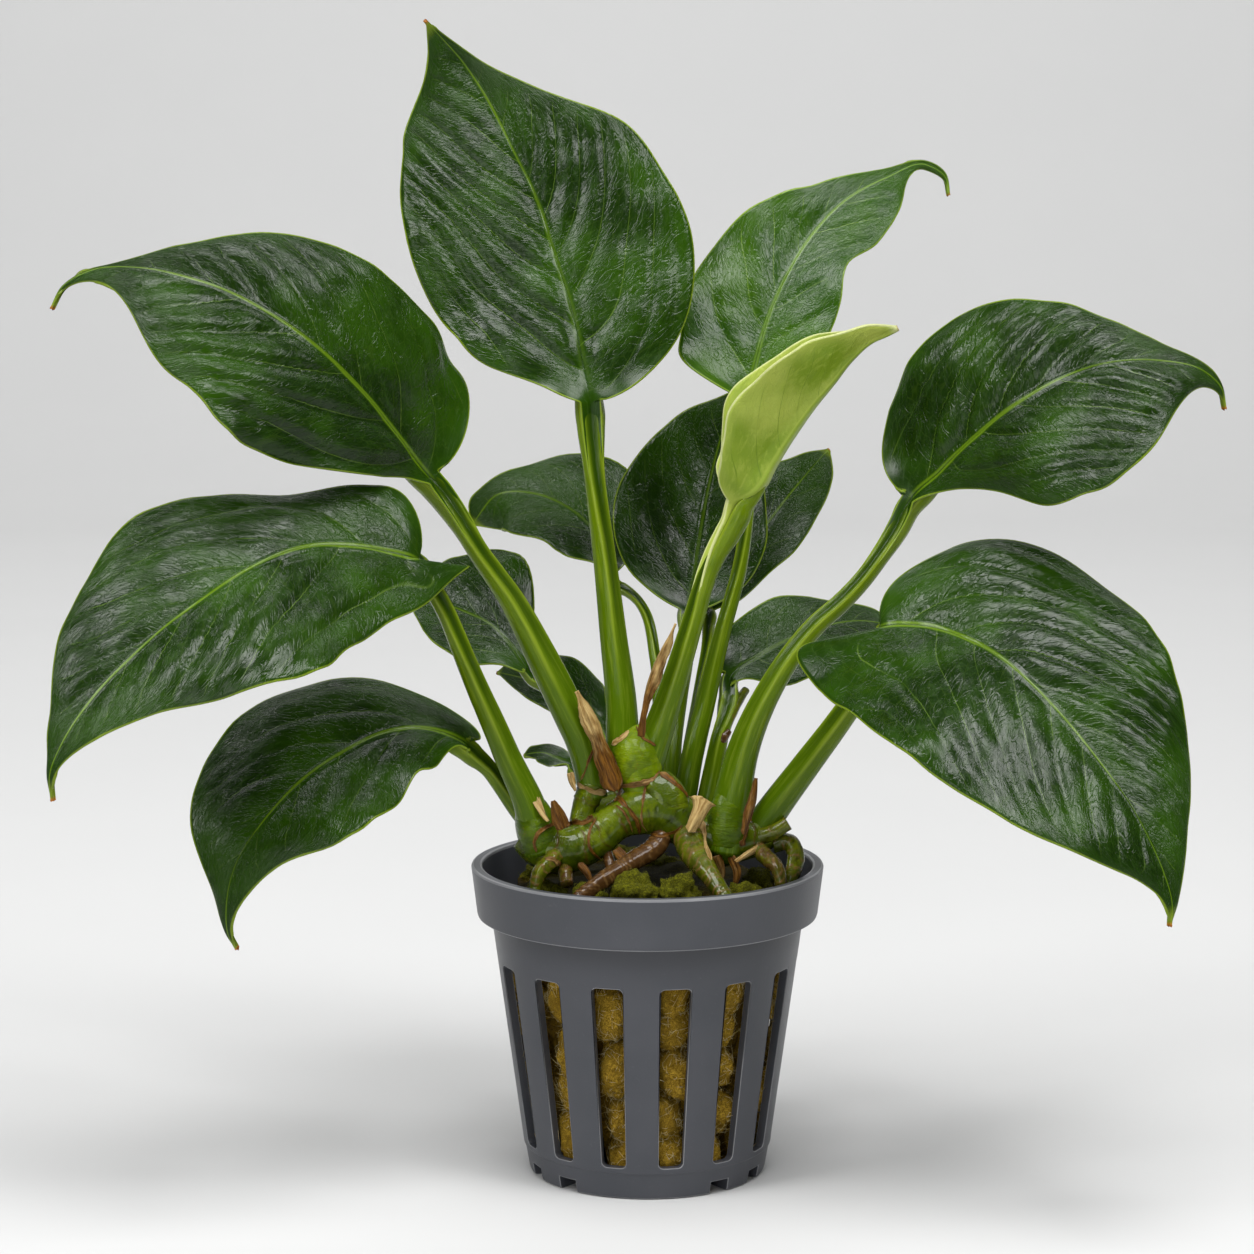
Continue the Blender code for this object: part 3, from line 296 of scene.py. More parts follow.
# Roots: paths from the rhizome into the wool
ROOTS = {
    "root_left": dict(path=((-12.4, -9, 48), (-13.2, -12, 47.2), (-14.8, -13.6, 45.8),
                            (-15.8, -14.8, 42.8)),
                      radii=(1.2, 1.05, 0.95, 0.8)),
    "root_long": dict(path=((2.4, -6, 50.6), (1, -9, 48.2), (-1.5, -11, 47), (-6, -15, 45),
                            (-10, -17.5, 42.5)),
                      radii=(1.5, 1.35, 1.25, 1.1, 0.9)),
    "root_front": dict(path=((5.4, -6.4, 50.2), (6.4, -10.4, 47.9), (8.8, -15, 45.2), (10.9, -18, 42.3)),
                       radii=(2.3, 1.9, 1.45, 1.0)),
    "root_right": dict(path=((14.6, -5.6, 48.2), (16.3, -9, 47), (18, -11.4, 45.6), (18.6, -12, 43)),
                       radii=(1.3, 1.1, 1.0, 0.9)),
    "root_arch": dict(path=((17.7, -5.4, 48), (19.9, -5.6, 48.2), (20.6, -6.2, 46.7), (20.3, -7.2, 44.6),
                            (19.7, -8, 42.4)),
                      radii=(1.3, 1.25, 1.2, 1.15, 1.0)),
}

# Papery sheaths: short blades that wrap part of a stalk's foot
SHEATHS = {
    "sheath_left": dict(path=((-4.3, -8.8, 56.2), (-5.4, -8.6, 59.6), (-6.8, -8.2, 63.4), (-8.4, -7.6, 67),
                              (-9.9, -7.2, 70)),
                        width=1.8, faces=(0.3, -1, 0.1)),
    "sheath_crown": dict(path=((-0.9, -7.6, 63.6), (-0.5, -7.4, 67.5), (0.8, -7, 72.3), (2.6, -6.6, 76.4),
                               (3.9, -6.2, 79.3)),
                         width=1.0, faces=(-0.5, -1, 0.1)),
    "sheath_wrap": dict(path=((7.8, -9.6, 55.4), (6.9, -10.4, 53.2), (5.6, -11, 50.8)),
                        width=1.5, faces=(0, -1, 0.4)),
    "sheath_right": dict(path=((13.4, -10.4, 50.2), (14.3, -9.9, 54.4), (15, -9.2, 58.1)),
                         width=0.9, faces=(0.6, -1, 0.1)),
    "sheath_low": dict(path=((-11.6, -12.6, 51.6), (-12.4, -12.2, 53.6), (-13.1, -11.8, 55.4)),
                       width=1.2, faces=(0.2, -1, 0)),
}


# Each blade's veins on one side, its rows and columns of faces on one side, how far its veins sweep, how
# deep it is quilted, the fold at its neck and the length of stalk that its margins run down
LARGE_VEINS = dict(veins=8, rows=142, columns=33, sweep=0.23, puff=0.34, crease=0.2, thickness=0.5,
                   neck=40, lead=12, rib=1.0, broad=0.25)
SMALL_VEINS = dict(veins=6, rows=62, columns=17, sweep=0.2, puff=0.2, crease=0.12, thickness=0.4,
                   neck=30, lead=6, rib=0.6, broad=0.1)
LOOKS = {
    "top": dict(LARGE_VEINS, veins=9, rib=0.35, puff=0.75, crease=0.26, broad=0.9),
    "upper_left": dict(LARGE_VEINS, puff=0.6),
    "mid_left": dict(LARGE_VEINS, neck=12, lead=5, puff=0.5),
    "lower_left": dict(LARGE_VEINS, veins=7, rows=110, columns=26, puff=0.26, lead=5, neck=20),
    "upper_right": dict(LARGE_VEINS, rows=110, columns=26, puff=0.24, skin="light", rib=0.7),
    "young": dict(LARGE_VEINS, veins=7, rows=104, columns=26, puff=0.22, crease=0.14, skin="young", neck=65),
    "right": dict(LARGE_VEINS, puff=0.6),
    "lower_right": dict(LARGE_VEINS, veins=9, neck=12, lead=5, puff=0.55),
}


def hermite(knots, values, at):
    """Smooth values between knots, through each one."""
    knots = np.asarray(knots, float)
    values = np.asarray(values, float)
    slopes = np.gradient(values, knots, axis=0)
    k = np.clip(np.searchsorted(knots, at, side="right") - 1, 0, len(knots) - 2)
    span = knots[k + 1] - knots[k]
    u = (at - knots[k]) / span
    if values.ndim > 1:
        span = span[:, None]
        u = u[:, None]
    return ((2 * u**3 - 3 * u**2 + 1) * values[k] + (u**3 - 2 * u**2 + u) * span * slopes[k]
            + (3 * u**2 - 2 * u**3) * values[k + 1] + (u**3 - u**2) * span * slopes[k + 1])


def reached(points):
    """The length of a line of points from its start to each point."""
    return np.concatenate([[0], np.cumsum(np.linalg.norm(np.diff(points, axis=0), axis=1))])


def at_shares(at, known, values):
    """Points or directions straight between known ones."""
    return np.stack([np.interp(at, known, axis) for axis in values.T], axis=1)


def side_by_side(*parts):
    """Arrays and numbers as the parts of points."""
    return np.stack(np.broadcast_arrays(*parts), axis=-1)


def smooth_path(points, along):
    """Points at the given shares of the length of a smooth curve through the given points."""
    points = np.asarray(points, float)
    knots = reached(points)
    fine = hermite(knots, points, np.linspace(0, knots[-1], 400))
    length = reached(fine)
    return at_shares(along, length / length[-1], fine)


def path_length(points):
    fine = smooth_path(points, np.linspace(0, 1, 200))
    return np.linalg.norm(np.diff(fine, axis=0), axis=1).sum()


def unit(vectors):
    return vectors / np.maximum(np.linalg.norm(vectors, axis=-1, keepdims=True), 1e-9)


def square_to(tangent, vectors):
    """Directions turned square to a tangent."""
    return unit(vectors - (vectors * tangent).sum(axis=1, keepdims=True) * tangent)


def name_seed(name):
    return sum(map(ord, name))


def add_object(name, data):
    item = bpy.data.objects.new(name, data)
    bpy.context.scene.collection.objects.link(item)
    return item


def noise(points, seed=0):
    """Smooth random values between -1 and 1, with about one bump in each unit of length."""
    points = np.asarray(points, float)
    cell = np.floor(points).astype(np.int64)
    part = points - cell
    part = part * part * (3 - 2 * part)
    total = np.zeros(points.shape[:-1])
    for corner in np.ndindex(2, 2, 2):
        key = cell + corner
        mixed = key[..., 0] * 73856093 ^ key[..., 1] * 19349663 ^ key[..., 2] * 83492791 ^ seed * 26544357
        mixed = (mixed ^ mixed >> 13) * 1274126177 & 0xFFFFFFFF
        value = ((mixed ^ mixed >> 15) & 0xFFFF) / 32767.5 - 1
        total += np.prod(np.where(corner, part, 1 - part), axis=-1) * value
    return total


def smooth_step(value, low, high):
    share = np.clip((value - low) / (high - low), 0, 1)
    return share * share * (3 - 2 * share)


def line_distance(points, line):
    """How far each point is from a line of points."""
    near = ((line**2).sum(axis=1) - 2 * points @ line.T).argmin(axis=1)
    best = np.full(len(points), np.inf)
    for start in (np.clip(near - 1, 0, len(line) - 2), np.clip(near, 0, len(line) - 2)):
        first = line[start]
        run = line[start + 1] - first
        share = np.clip(((points - first) * run).sum(axis=1) / np.maximum((run**2).sum(axis=1), 1e-9), 0, 1)
        best = np.minimum(best, np.linalg.norm(points - first - run * share[:, None], axis=1))
    return best


def half_width(leaf, side, along):
    """A blade's half width at shares of its length, and down its stalk's channel below its base."""
    lobe = leaf["lobes"][side]
    rise = 0.5 + lobe / 30
    stations = np.array(WIDTH_STATIONS)
    envelope = stations[1:-1]**rise * (1 - stations[1:-1])
    share = np.array(leaf[("left", "right")[side]]) / envelope
    share = np.concatenate([share[:1], share, share[-1:]])
    ahead = np.clip(along, 0, 1)
    floor = leaf["mouth"] + (0.22 - leaf["mouth"]) * ahead**0.5
    below = np.clip(-along * leaf["length"] / leaf["lead"], 0, 1)
    floor = floor + (leaf["channel"] - leaf["mouth"]) * below
    width = np.maximum(ahead**rise * (1 - ahead) * hermite(stations, share, ahead), 0)
    return (width**3 + floor**3) ** (1 / 3)


def stalk_frame(leaf, share):
    """A stalk's middle line, radius and channel side at shares of its length, lowered towards the blade."""
    centre = smooth_path(leaf["stalk"], share)
    ahead = smooth_path(leaf["stalk"], np.minimum(share + 0.03, 1))
    behind = smooth_path(leaf["stalk"], np.maximum(share - 0.03, 0))
    tangent = unit(ahead - behind)
    radius = hermite(np.linspace(0, 1, len(leaf["radii"])), leaf["radii"], share)
    lean = math.copysign(1, leaf["stalk"][-1][0] - leaf["stalk"][0][0])
    turn = smooth_step(share, 0.5, 1)[:, None]
    facing = np.array((-0.75 * lean, -0.7, 0.3)) * (1 - turn) + unit(np.array(leaf["faces"][0], float)) * turn
    facing = square_to(tangent, facing)
    length = path_length(leaf["stalk"])
    near = smooth_step(share * length, length - leaf["reach"], length)
    radius = radius * (1 + 0.5 * near**2)
    return centre - facing * (0.7 * radius * near)[:, None], radius, facing


def with_channel(leaf, look):
    """A leaf with its midrib led on down the channel of its stalk."""
    stalk = path_length(leaf["stalk"])
    reach = min(look["lead"], 0.4 * stalk)
    leaf = dict(leaf, reach=reach, neck=look["neck"])
    share = 1 - reach * np.array((1, 0.75, 0.5, 0.25, 0.08)) / stalk
    centre, radius, facing = stalk_frame(leaf, share)
    path = centre + facing * (0.62 * radius)[:, None]
    leaf["spine"] = np.concatenate([path, leaf["midrib"]])
    steps = np.linalg.norm(np.diff(leaf["spine"][:6], axis=0), axis=1)
    leaf["lead"] = steps.sum()
    leaf["length"] = path_length(leaf["midrib"])
    leaf["channel"] = 0.72 * radius[0]
    leaf["mouth"] = 0.8 * radius[-1]
    leaf["below"] = -np.cumsum(steps[::-1])[::-1] / leaf["length"]
    leaf["facing"] = facing
    return leaf


def blade_frame(leaf, along):
    """The midrib's points, and the directions ahead, up and right there, at shares of its length."""
    lead, length = leaf["lead"], leaf["length"]
    below = np.minimum(along, 0)
    span = np.where(along < 0, 0.01 + (RIB_SPAN - 0.01) * (1 + below * length / lead), RIB_SPAN)
    first = np.where(along < 0, along, np.maximum(along - span, 0))
    last = np.minimum(along + span, 1)
    centre, behind, ahead = [smooth_path(leaf["spine"], (lead + at * length) / (lead + length))
                             for at in (along, first, last)]
    tangent = unit(ahead - behind)
    faces = hermite((0, 0.5, 1), leaf["faces"], np.clip(along, 0, 1))
    if "facing" in leaf:
        known = np.append(leaf["below"], 0)
        sides = np.concatenate([leaf["facing"], unit(np.array(leaf["faces"][:1], float))])
        faces = np.where((along < 0)[:, None], at_shares(along, known, sides), faces)
    normal = square_to(tangent, faces)
    return centre, tangent, normal, np.cross(tangent, normal)


def blade_surface(leaf, along, across):
    """Points on the middle sheet of a blade, at shares along and across."""
    centre, tangent, normal, right = blade_frame(leaf, along)
    base = np.clip(along, 0, 1)
    fold = hermite((0, 0.5, 1), leaf["fold"], base)
    neck = np.maximum(leaf["neck"] - leaf["fold"][0], 0) * np.exp(-base * leaf["length"] / 2.2)
    below = np.clip(-along * leaf["length"] / leaf["lead"], 0, 1)
    fold = np.radians((fold + neck) * (1 - below) + 14 * below)
    wave_height, wave_count = leaf["wave"]
    lobe = (base / LOBE_STATION) ** LOBE_RISE * np.exp(LOBE_RISE * (1 - base / LOBE_STATION))
    reach = np.zeros_like(along)
    curl = np.zeros_like(along)
    backward = np.zeros_like(along)
    phase = np.zeros_like(along)
    for side, here in enumerate((across < 0, across >= 0)):
        reach[here] = half_width(leaf, side, along[here])
        curl[here] = math.radians(leaf["curl"][side])
        backward[here] = leaf["lobes"][side]
        phase[here] = side * 2.0
    turned = fold + curl * abs(across)
    outward = reach / curl * (np.sin(turned) - np.sin(fold))
    upward = reach / curl * (np.cos(fold) - np.cos(turned))
    ripple = np.sin(2 * math.pi * wave_count * along + phase)
    upward = upward + wave_height * across**2 * ripple * np.sin(math.pi * base)
    if wave_height:
        place = side_by_side(along * leaf["length"] / 6, np.sign(across) * 7.3, 0.0)
        uneven = 0.8 * noise(place, 5) + 0.4 * noise(place * 2.1, 6)
        upward += uneven * across**4 * np.sin(math.pi * base) ** 0.5
    backward = backward * lobe * abs(across) ** 1.2
    outward = outward - leaf.get("tuck", 0) * backward
    return (centre + right * (np.sign(across) * outward)[:, None] + normal * upward[:, None]
            - tangent * backward[:, None])


def grid_normals(grid):
    """Directions square to a grid of points."""
    ahead = np.gradient(grid, axis=0)
    aside = np.gradient(grid, axis=1)
    return unit(np.cross(aside, ahead))


def grid_faces(rows, columns, start=0, flip=False):
    """Corner numbers of the faces of a grid of points, row after row."""
    corner = start + np.arange(rows * columns).reshape(rows, columns)
    faces = np.stack([corner[:-1, :-1], corner[:-1, 1:], corner[1:, 1:], corner[1:, :-1]], axis=-1)
    faces = faces.reshape(-1, 4)
    return faces[:, ::-1] if flip else faces


def build_mesh(name, points, faces, finish, slot, nodes=(), **facts):
    """A smooth piece from points in millimetres, with facts at each point for its finish."""
    mesh = bpy.data.meshes.new(name)
    mesh.from_pydata((np.asarray(points) * MM).tolist(), [], [list(map(int, face)) for face in faces])
    mesh.validate()
    for fact, values in facts.items():
        values = np.asarray(values, float)
        kind = "FLOAT_VECTOR" if values.ndim > 1 else "FLOAT"
        field = "vector" if values.ndim > 1 else "value"
        mesh.attributes.new(fact, kind, "POINT").data.foreach_set(field, values.ravel())
    mesh.shade_smooth()
    mesh.materials.append(finish)
    piece = add_object(name, mesh)
    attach(piece, "root")
    if nodes:
        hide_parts(*nodes)
    return piece


class Finish:
    """A material whose node tree is written as formulas."""

    def __init__(self, name, roughness=0.5, **settings):
        self.material = bpy.data.materials.new(name)
        self.material.use_nodes = True
        self.tree = self.material.node_tree
        self.shader = self.tree.nodes["Principled BSDF"]
        self.shader.inputs["Roughness"].default_value = roughness
        for socket, value in settings.items():
            self.shader.inputs[socket.replace("_", " ")].default_value = value

    def put(self, socket, value):
        if isinstance(value, bpy.types.NodeSocket):
            self.tree.links.new(value, socket)
        else:
            socket.default_value = value

    def set(self, name, value):
        self.put(self.shader.inputs[name], value)

    def fact(self, name):
        node = self.tree.nodes.new("ShaderNodeAttribute")
        node.attribute_name = name
        return node.outputs["Vector" if name == "grain" else "Fac"]

    def math(self, operation, *values):
        node = self.tree.nodes.new("ShaderNodeMath")
        node.operation = operation
        for socket, value in zip(node.inputs, values):
            self.put(socket, value)
        return node.outputs[0]

    def between(self, value, low, high, to_low=0.0, to_high=1.0):
        """A smooth step from one value to another as the first goes from low to high."""
        node = self.tree.nodes.new("ShaderNodeMapRange")
        node.interpolation_type = "SMOOTHSTEP"
        for socket, number in zip(node.inputs, (value, low, high, to_low, to_high)):
            self.put(socket, number)
        return node.outputs[0]

    def mix(self, share, first, second):
        node = self.tree.nodes.new("ShaderNodeMix")
        node.data_type = "RGBA"
        self.put(node.inputs["Factor"], share)
        for socket, colour in ((node.inputs[6], first), (node.inputs[7], second)):
            self.put(socket, colour if isinstance(colour, bpy.types.NodeSocket) else (*colour, 1.0))
        return node.outputs[2]

    def place(self):
        """Where a point is, in metres."""
        return self.tree.nodes.new("ShaderNodeNewGeometry").outputs["Position"]

    def place_mm(self):
        return self.stretch(self.place(), (1000, 1000, 1000))

    def height(self, vector):
        node = self.tree.nodes.new("ShaderNodeSeparateXYZ")
        self.put(node.inputs[0], vector)
        return node.outputs["Z"]

    def stretch(self, vector, factors):
        node = self.tree.nodes.new("ShaderNodeVectorMath")
        node.operation = "MULTIPLY"
        self.put(node.inputs[0], vector)
        self.put(node.inputs[1], factors)
        return node.outputs[0]

    def noise(self, vector, scale, detail=2.0, roughness=0.5, distortion=0.0):
        node = self.tree.nodes.new("ShaderNodeTexNoise")
        self.put(node.inputs["Vector"], vector)
        for socket, value in (("Scale", scale), ("Detail", detail), ("Roughness", roughness),
                              ("Distortion", distortion)):
            self.put(node.inputs[socket], value)
        return node.outputs["Fac"]

    def netting(self, vector, scale):
        """How far a point is from the lines of a net."""
        node = self.tree.nodes.new("ShaderNodeTexVoronoi")
        node.feature = "DISTANCE_TO_EDGE"
        self.put(node.inputs["Vector"], vector)
        self.put(node.inputs["Scale"], scale)
        return node.outputs["Distance"]

    def bump(self, height, distance):
        node = self.tree.nodes.new("ShaderNodeBump")
        node.inputs["Distance"].default_value = distance * MM
        node.inputs["Strength"].default_value = 1.0
        self.put(node.inputs["Height"], height)
        self.set("Normal", node.outputs[0])


def blade_finish(name, dark, mid, vein, midrib, rim, tip, gloss, wrinkle):
    """Green skin with pale veins, midrib and margin, wrinkled between the veins."""
    finish = Finish(name, roughness=gloss, Specular_IOR_Level=0.27)
    place = finish.place_mm()
    grain = finish.fact("grain")
    phase = finish.fact("phase")
    pitch = finish.fact("pitch")
    rib = finish.fact("rib")
    edge = finish.fact("edge")
    end = finish.fact("end")
    patches = finish.noise(place, 0.09, 2.0, 0.5)
    mottle = finish.noise(grain, 0.6, 3.0, 0.6, 0.6)
    fade = finish.noise(grain, 0.16, 2.0, 0.5)
    colour = finish.mix(finish.between(patches, 0.35, 0.7), dark, mid)
    colour = finish.mix(finish.between(mottle, 0.45, 0.75, 0, 0.4), colour, mid)
    netting = finish.netting(finish.stretch(grain, (0.5, 1.3, 1)), 0.8)
    colour = finish.mix(finish.between(netting, 0.0, 0.05, 0.12, 0), colour, vein)
    for share, width, strength in ((4, 0.07, 0.18), (1, 0.13, 0.95)):
        part = finish.math("FRACT", finish.math("MULTIPLY_ADD", phase, share, 0.5 if share > 1 else 0.0))
        gap = finish.math("ABSOLUTE", finish.math("SUBTRACT", part, 0.5))
        gap = finish.math("MULTIPLY", gap, finish.math("DIVIDE", pitch, share))
        line = finish.between(gap, 0.02, width, strength, 0)
        line = finish.math("MULTIPLY", line, finish.between(fade, 0.35, 0.65, 0.25, 1.0))
        line = finish.math("MULTIPLY", line, finish.between(edge, 0.5, 2.5))
        colour = finish.mix(line, colour, vein)
    colour = finish.mix(finish.between(edge, 0.2, 1.8, 0.3, 0), colour, mid)
    colour = finish.mix(finish.between(edge, 0.08, 0.26, 0.9, 0), colour, rim)
    colour = finish.mix(rib, colour, finish.mix(finish.between(rib, 0.3, 0.9), mid, midrib))
    colour = finish.mix(finish.between(end, 0.1, 0.8, 0, 0.9), colour, rim)
    colour = finish.mix(finish.between(end, 0.8, 1.0), colour, tip)
    finish.set("Base Color", colour)
    finish.set("Roughness", finish.between(mottle, 0.3, 0.7, gloss - 0.05, gloss + 0.07))
    ridges = finish.noise(finish.stretch(grain, (0.55, 1.0, 1)), 1.2, 3.0, 0.6, 1.5)
    lines = finish.noise(finish.stretch(grain, (0.45, 1.1, 1)), 0.62, 1.5, 0.5, 1.6)
    lines = finish.math("ABSOLUTE", finish.math("SUBTRACT", lines, 0.5))
    ridges = finish.math("ADD", finish.math("MULTIPLY", ridges, 0.7),
                         finish.between(lines, 0.0, 0.08, 0, 0.3))
    calm = finish.math("MULTIPLY", finish.between(rib, 0.0, 0.5, 1, 0.2),
                       finish.between(patches, 0.35, 0.6, 0.5, 1))
    finish.bump(finish.math("MULTIPLY", ridges, finish.math("MULTIPLY", calm, finish.fact("rough"))), wrinkle)
    return finish.material


def leaf_piece(name, leaf, look, skins):
    """A blade of two grids joined round its margin, its veins sunk in the top and raised underneath."""
    side = look["columns"]
    length = leaf["length"]
    even = np.linspace(0, 1, look["rows"] + 1)
    start = even - 0.75 * np.sin(2 * math.pi * even) / (2 * math.pi)
    down = -np.linspace(leaf["lead"], 0, int(leaf["lead"] * 3), endpoint=False) / length
    share = np.linspace(-1, 1, 2 * side + 1)
    along, column = np.meshgrid(np.append(down, start), np.sign(share) * abs(share) ** 1.45, indexing="ij")
    row = np.maximum(along, 0)
    flat = abs(column)
    sweep = look["sweep"] * (0.5 * flat + 0.5 * flat**2.2) * 4 * row * (1 - row)
    along = np.minimum(along + sweep, 1)
    shape = row.shape
    points = blade_surface(leaf, along.ravel(), column.ravel())
    grid = points.reshape(*shape, 3)
    middle = line_distance(points, grid[:, side]).reshape(shape)
    margin = np.concatenate([grid[:, 0], grid[-1], grid[::-1, -1]])
    edge = line_distance(points, margin).reshape(shape)
    seed = name_seed(name)
    pitch = length / look["veins"]
    flow = side_by_side(row * length, column * 20, seed * 1.7)
    lean = (0.55 + 1.3 * np.maximum(along, 0) ** 0.8) * (middle + 0.025 * middle**2) / length
    phase = look["veins"] * (along - lean) + np.where(column < 0, 0.0, 0.45) + 0.2 * noise(flow / 9, seed)
    between = phase + 0.5 - np.floor(phase + 0.5)
    near = np.minimum(between, 1 - between) * pitch
    open_blade = smooth_step(row * length, 0, 9)
    calm = np.clip(edge / 3, 0, 1) * np.clip(middle / 2.5, 0, 1) * open_blade * smooth_step(row, 1, 0.85)
    # the skin swells between the veins, each strip by its own amount, and is sunk along them
    strip = np.floor(phase + 0.5) * 2.7 + (column < 0) * 31
    full = look["puff"] * pitch / 6 * (1.0 + 0.4 * np.sin(strip * 2.1) + 0.4 * noise(flow / 12, seed + 4))
    relief = full * 3 * between**0.75 * (1 - between) ** 1.3 - look["crease"] * np.exp(-(near / 0.42) ** 2)
    relief *= calm * (1 - 0.5 * smooth_step(row, 0.5, 0.9))
    # uneven skin, at three sizes
    rough = smooth_step(row * length, 0, 6)
    relief += 0.45 * noise(grid / 10, seed + 1) * np.clip(edge / 3, 0, 1) * rough
    relief += (0.2 * noise(grid / 3.4, seed + 2) + 0.07 * noise(grid / 1.3, seed + 3)) * calm
    # the midrib, raised above and a keel below
    wide = look["broad"] * (1 - row) ** 3
    rib_half = 0.6 * (1 - row) + 0.14 + wide
    ridge = np.exp(-(middle / rib_half) ** 4)
    relief += ridge * (0.3 * (1 - row) + 0.08) * open_blade
    relief -= 0.22 * np.exp(-(middle / 0.9) ** 2) * (rough - open_blade)
    normal = grid_normals(grid)
    top = grid + normal * relief[..., None]
    keel = np.exp(-(middle / (1.3 * rib_half)) ** 2) * (1.3 * (1 - row) ** 1.3 + 0.25) * rough
    thickness = look["thickness"] * (1 - 0.55 * flat**4) + keel
    under = grid + normal * (relief * 0.75 - thickness)[..., None]
    grain = side_by_side(column * 18 + sweep * length * 0.2, row * length, float(seed % 31))
    rib = np.exp(-(middle / (0.34 * (1 - row) + 0.11 + wide)) ** 4)
    rib = rib * (look["rib"] + (0.85 - look["rib"]) * row**0.5)
    rib *= 1 - 0.6 * np.exp(-(middle / 0.16) ** 2) * (1 - row) ** 3
    facts = dict(phase=phase, pitch=np.full(shape, pitch), rib=rib * smooth_step(along * length, -6, 4),
                 edge=edge, end=np.clip((along - 0.95) / 0.05, 0, 1), rough=rough)
    faces, points, facts, grain = two_sided(top, under, facts, grain)
    skin = look.get("skin", "dark")
    slot = "young_blade" if skin == "young" else "blade"
    build_mesh("blade_" + name, points, faces, skins[skin], slot, ("leaf_" + name,), grain=grain, **facts)


def two_sided(top, under, facts, grain):
    """Faces and points of two grids joined round their edges, with the facts of both."""
    rows, columns = top.shape[:2]
    count = rows * columns
    loop = np.concatenate([
        np.arange(columns), columns * np.arange(1, rows) + columns - 1,
        count - 2 - np.arange(columns - 1), columns * np.arange(rows - 2, 0, -1)])
    ahead = np.roll(loop, -1)
    band = np.stack([loop, loop + count, ahead + count, ahead], axis=-1)
    faces = np.concatenate([grid_faces(rows, columns), grid_faces(rows, columns, count, flip=True), band])
    points = np.concatenate([top.reshape(-1, 3), under.reshape(-1, 3)])
    facts = {key: np.tile(values.ravel(), 2) for key, values in facts.items()}
    return faces, points, facts, np.tile(grain.reshape(-1, 3), (2, 1))


def tube_grid(path, radii, rows, sides, facing, shape=None):
    """A tube's rings of points. Its first side looks where "facing" says, and shape changes its radius."""
    along = np.linspace(0, 1, rows + 1)
    centre = smooth_path(path, along)
    tangent = unit(np.gradient(centre, axis=0))
    radius = hermite(np.linspace(0, 1, len(radii)), radii, along)
    facing = np.broadcast_to(np.asarray(facing, float), centre.shape)
    first = square_to(tangent, facing)
    second = np.cross(tangent, first)
    angle = np.linspace(0, 2 * math.pi, sides, endpoint=False)
    angle_grid, along_grid = np.meshgrid(angle, along)
    length = path_length(path)
    factor = shape(angle_grid, along_grid) if shape else 1.0
    reach = np.broadcast_to(radius[:, None] * factor, angle_grid.shape)
    rings = (centre[:, None] + first[:, None] * (np.cos(angle_grid) * reach)[..., None]
             + second[:, None] * (np.sin(angle_grid) * reach)[..., None])
    grain = side_by_side(np.cos(angle_grid) * radius[:, None], np.sin(angle_grid) * radius[:, None],
                         along_grid * length)
    return rings, grain, along_grid, angle_grid


def tube_faces(rows, sides, start=0):
    """Faces of a closed tube of rings, with a point in the middle of each end."""
    ring = start + np.arange(rows * sides).reshape(rows, sides)
    ahead = np.roll(ring, -1, axis=1)
    walls = np.stack([ring[:-1], ahead[:-1], ahead[1:], ring[1:]], axis=-1).reshape(-1, 4)
    foot = start + rows * sides
    ends = [(foot, b, a) for a, b in zip(ring[0], ahead[0])]
    ends += [(foot + 1, a, b) for a, b in zip(ring[-1], ahead[-1])]
    return list(walls) + ends


def tube_piece(name, rings, grain, finish, slot, nodes, **facts):
    """A piece from a tube's rings, with its ends closed."""
    points, grains = [
        np.concatenate([grid.reshape(-1, 3), grid[0].mean(axis=0)[None], grid[-1].mean(axis=0)[None]])
        for grid in (rings, grain)]
    more = {key: np.concatenate([values.ravel(), [values[0].mean()], [values[-1].mean()]])
            for key, values in facts.items()}
    return build_mesh(name, points, tube_faces(*rings.shape[:2]), finish, slot, nodes, grain=grains, **more)


def stalk_shape(angle, along):
    """A channel down the upper side between two ridges, shallow near the foot."""
    turn = np.minimum(angle, 2 * math.pi - angle)
    depth = np.clip((along - 0.12) * 2.2, 0, 1)
    groove = -0.34 * depth * np.exp(-(turn / 0.36) ** 2)
    ridges = 0.07 * depth * np.exp(-((turn - 0.72) / 0.2) ** 2)
    ribs = 0.012 * np.cos(9 * angle)
    return 1 + groove + ridges + ribs


def stalk_piece(name, leaf, finish):
    """A stalk from inside the rhizome up into the keel under its blade."""
    steps = 14
    centre, radius, facing = stalk_frame(leaf, np.linspace(0, 1, steps))
    foot = centre[0] - unit(centre[1] - centre[0]) * 1.2
    reach = np.array([0.03, 0.07, 0.12, 0.18])
    rib, _, normal, _ = blade_frame(leaf, reach)
    drop = np.array([0.8, 0.65, 0.5, 0.4])[:, None] * radius[-1]
    path = np.concatenate([foot[None], centre, rib - normal * drop])
    radii = np.concatenate([radius[:1], radius, radius[-1] * np.array([0.85, 0.65, 0.5, 0.3])])
    sides = np.concatenate([facing[:1], facing, normal])
    lengths = reached(path)
    lengths /= lengths[-1]
    rows = max(40, int(path_length(path) * 2))
    along = np.linspace(0, 1, rows + 1)
    turned = at_shares(along, lengths, sides)
    radius = np.interp(np.linspace(0, 1, 40), lengths, radii)
    rings, grain, along, angle = tube_grid(path, radius, rows, STALK_SIDES, turned, stalk_shape)
    turn = np.minimum(angle, 2 * math.pi - angle)
    shown = np.clip((along - 0.1) * 3, 0, 1)
    return tube_piece("petiole_" + name, rings, grain, finish, "stalk", ("stalk_" + name,),
                      stripe=np.exp(-((turn - 0.7) / 0.11) ** 2) * shown,
                      groove=np.exp(-(turn / 0.52) ** 4) * shown, rise=along)


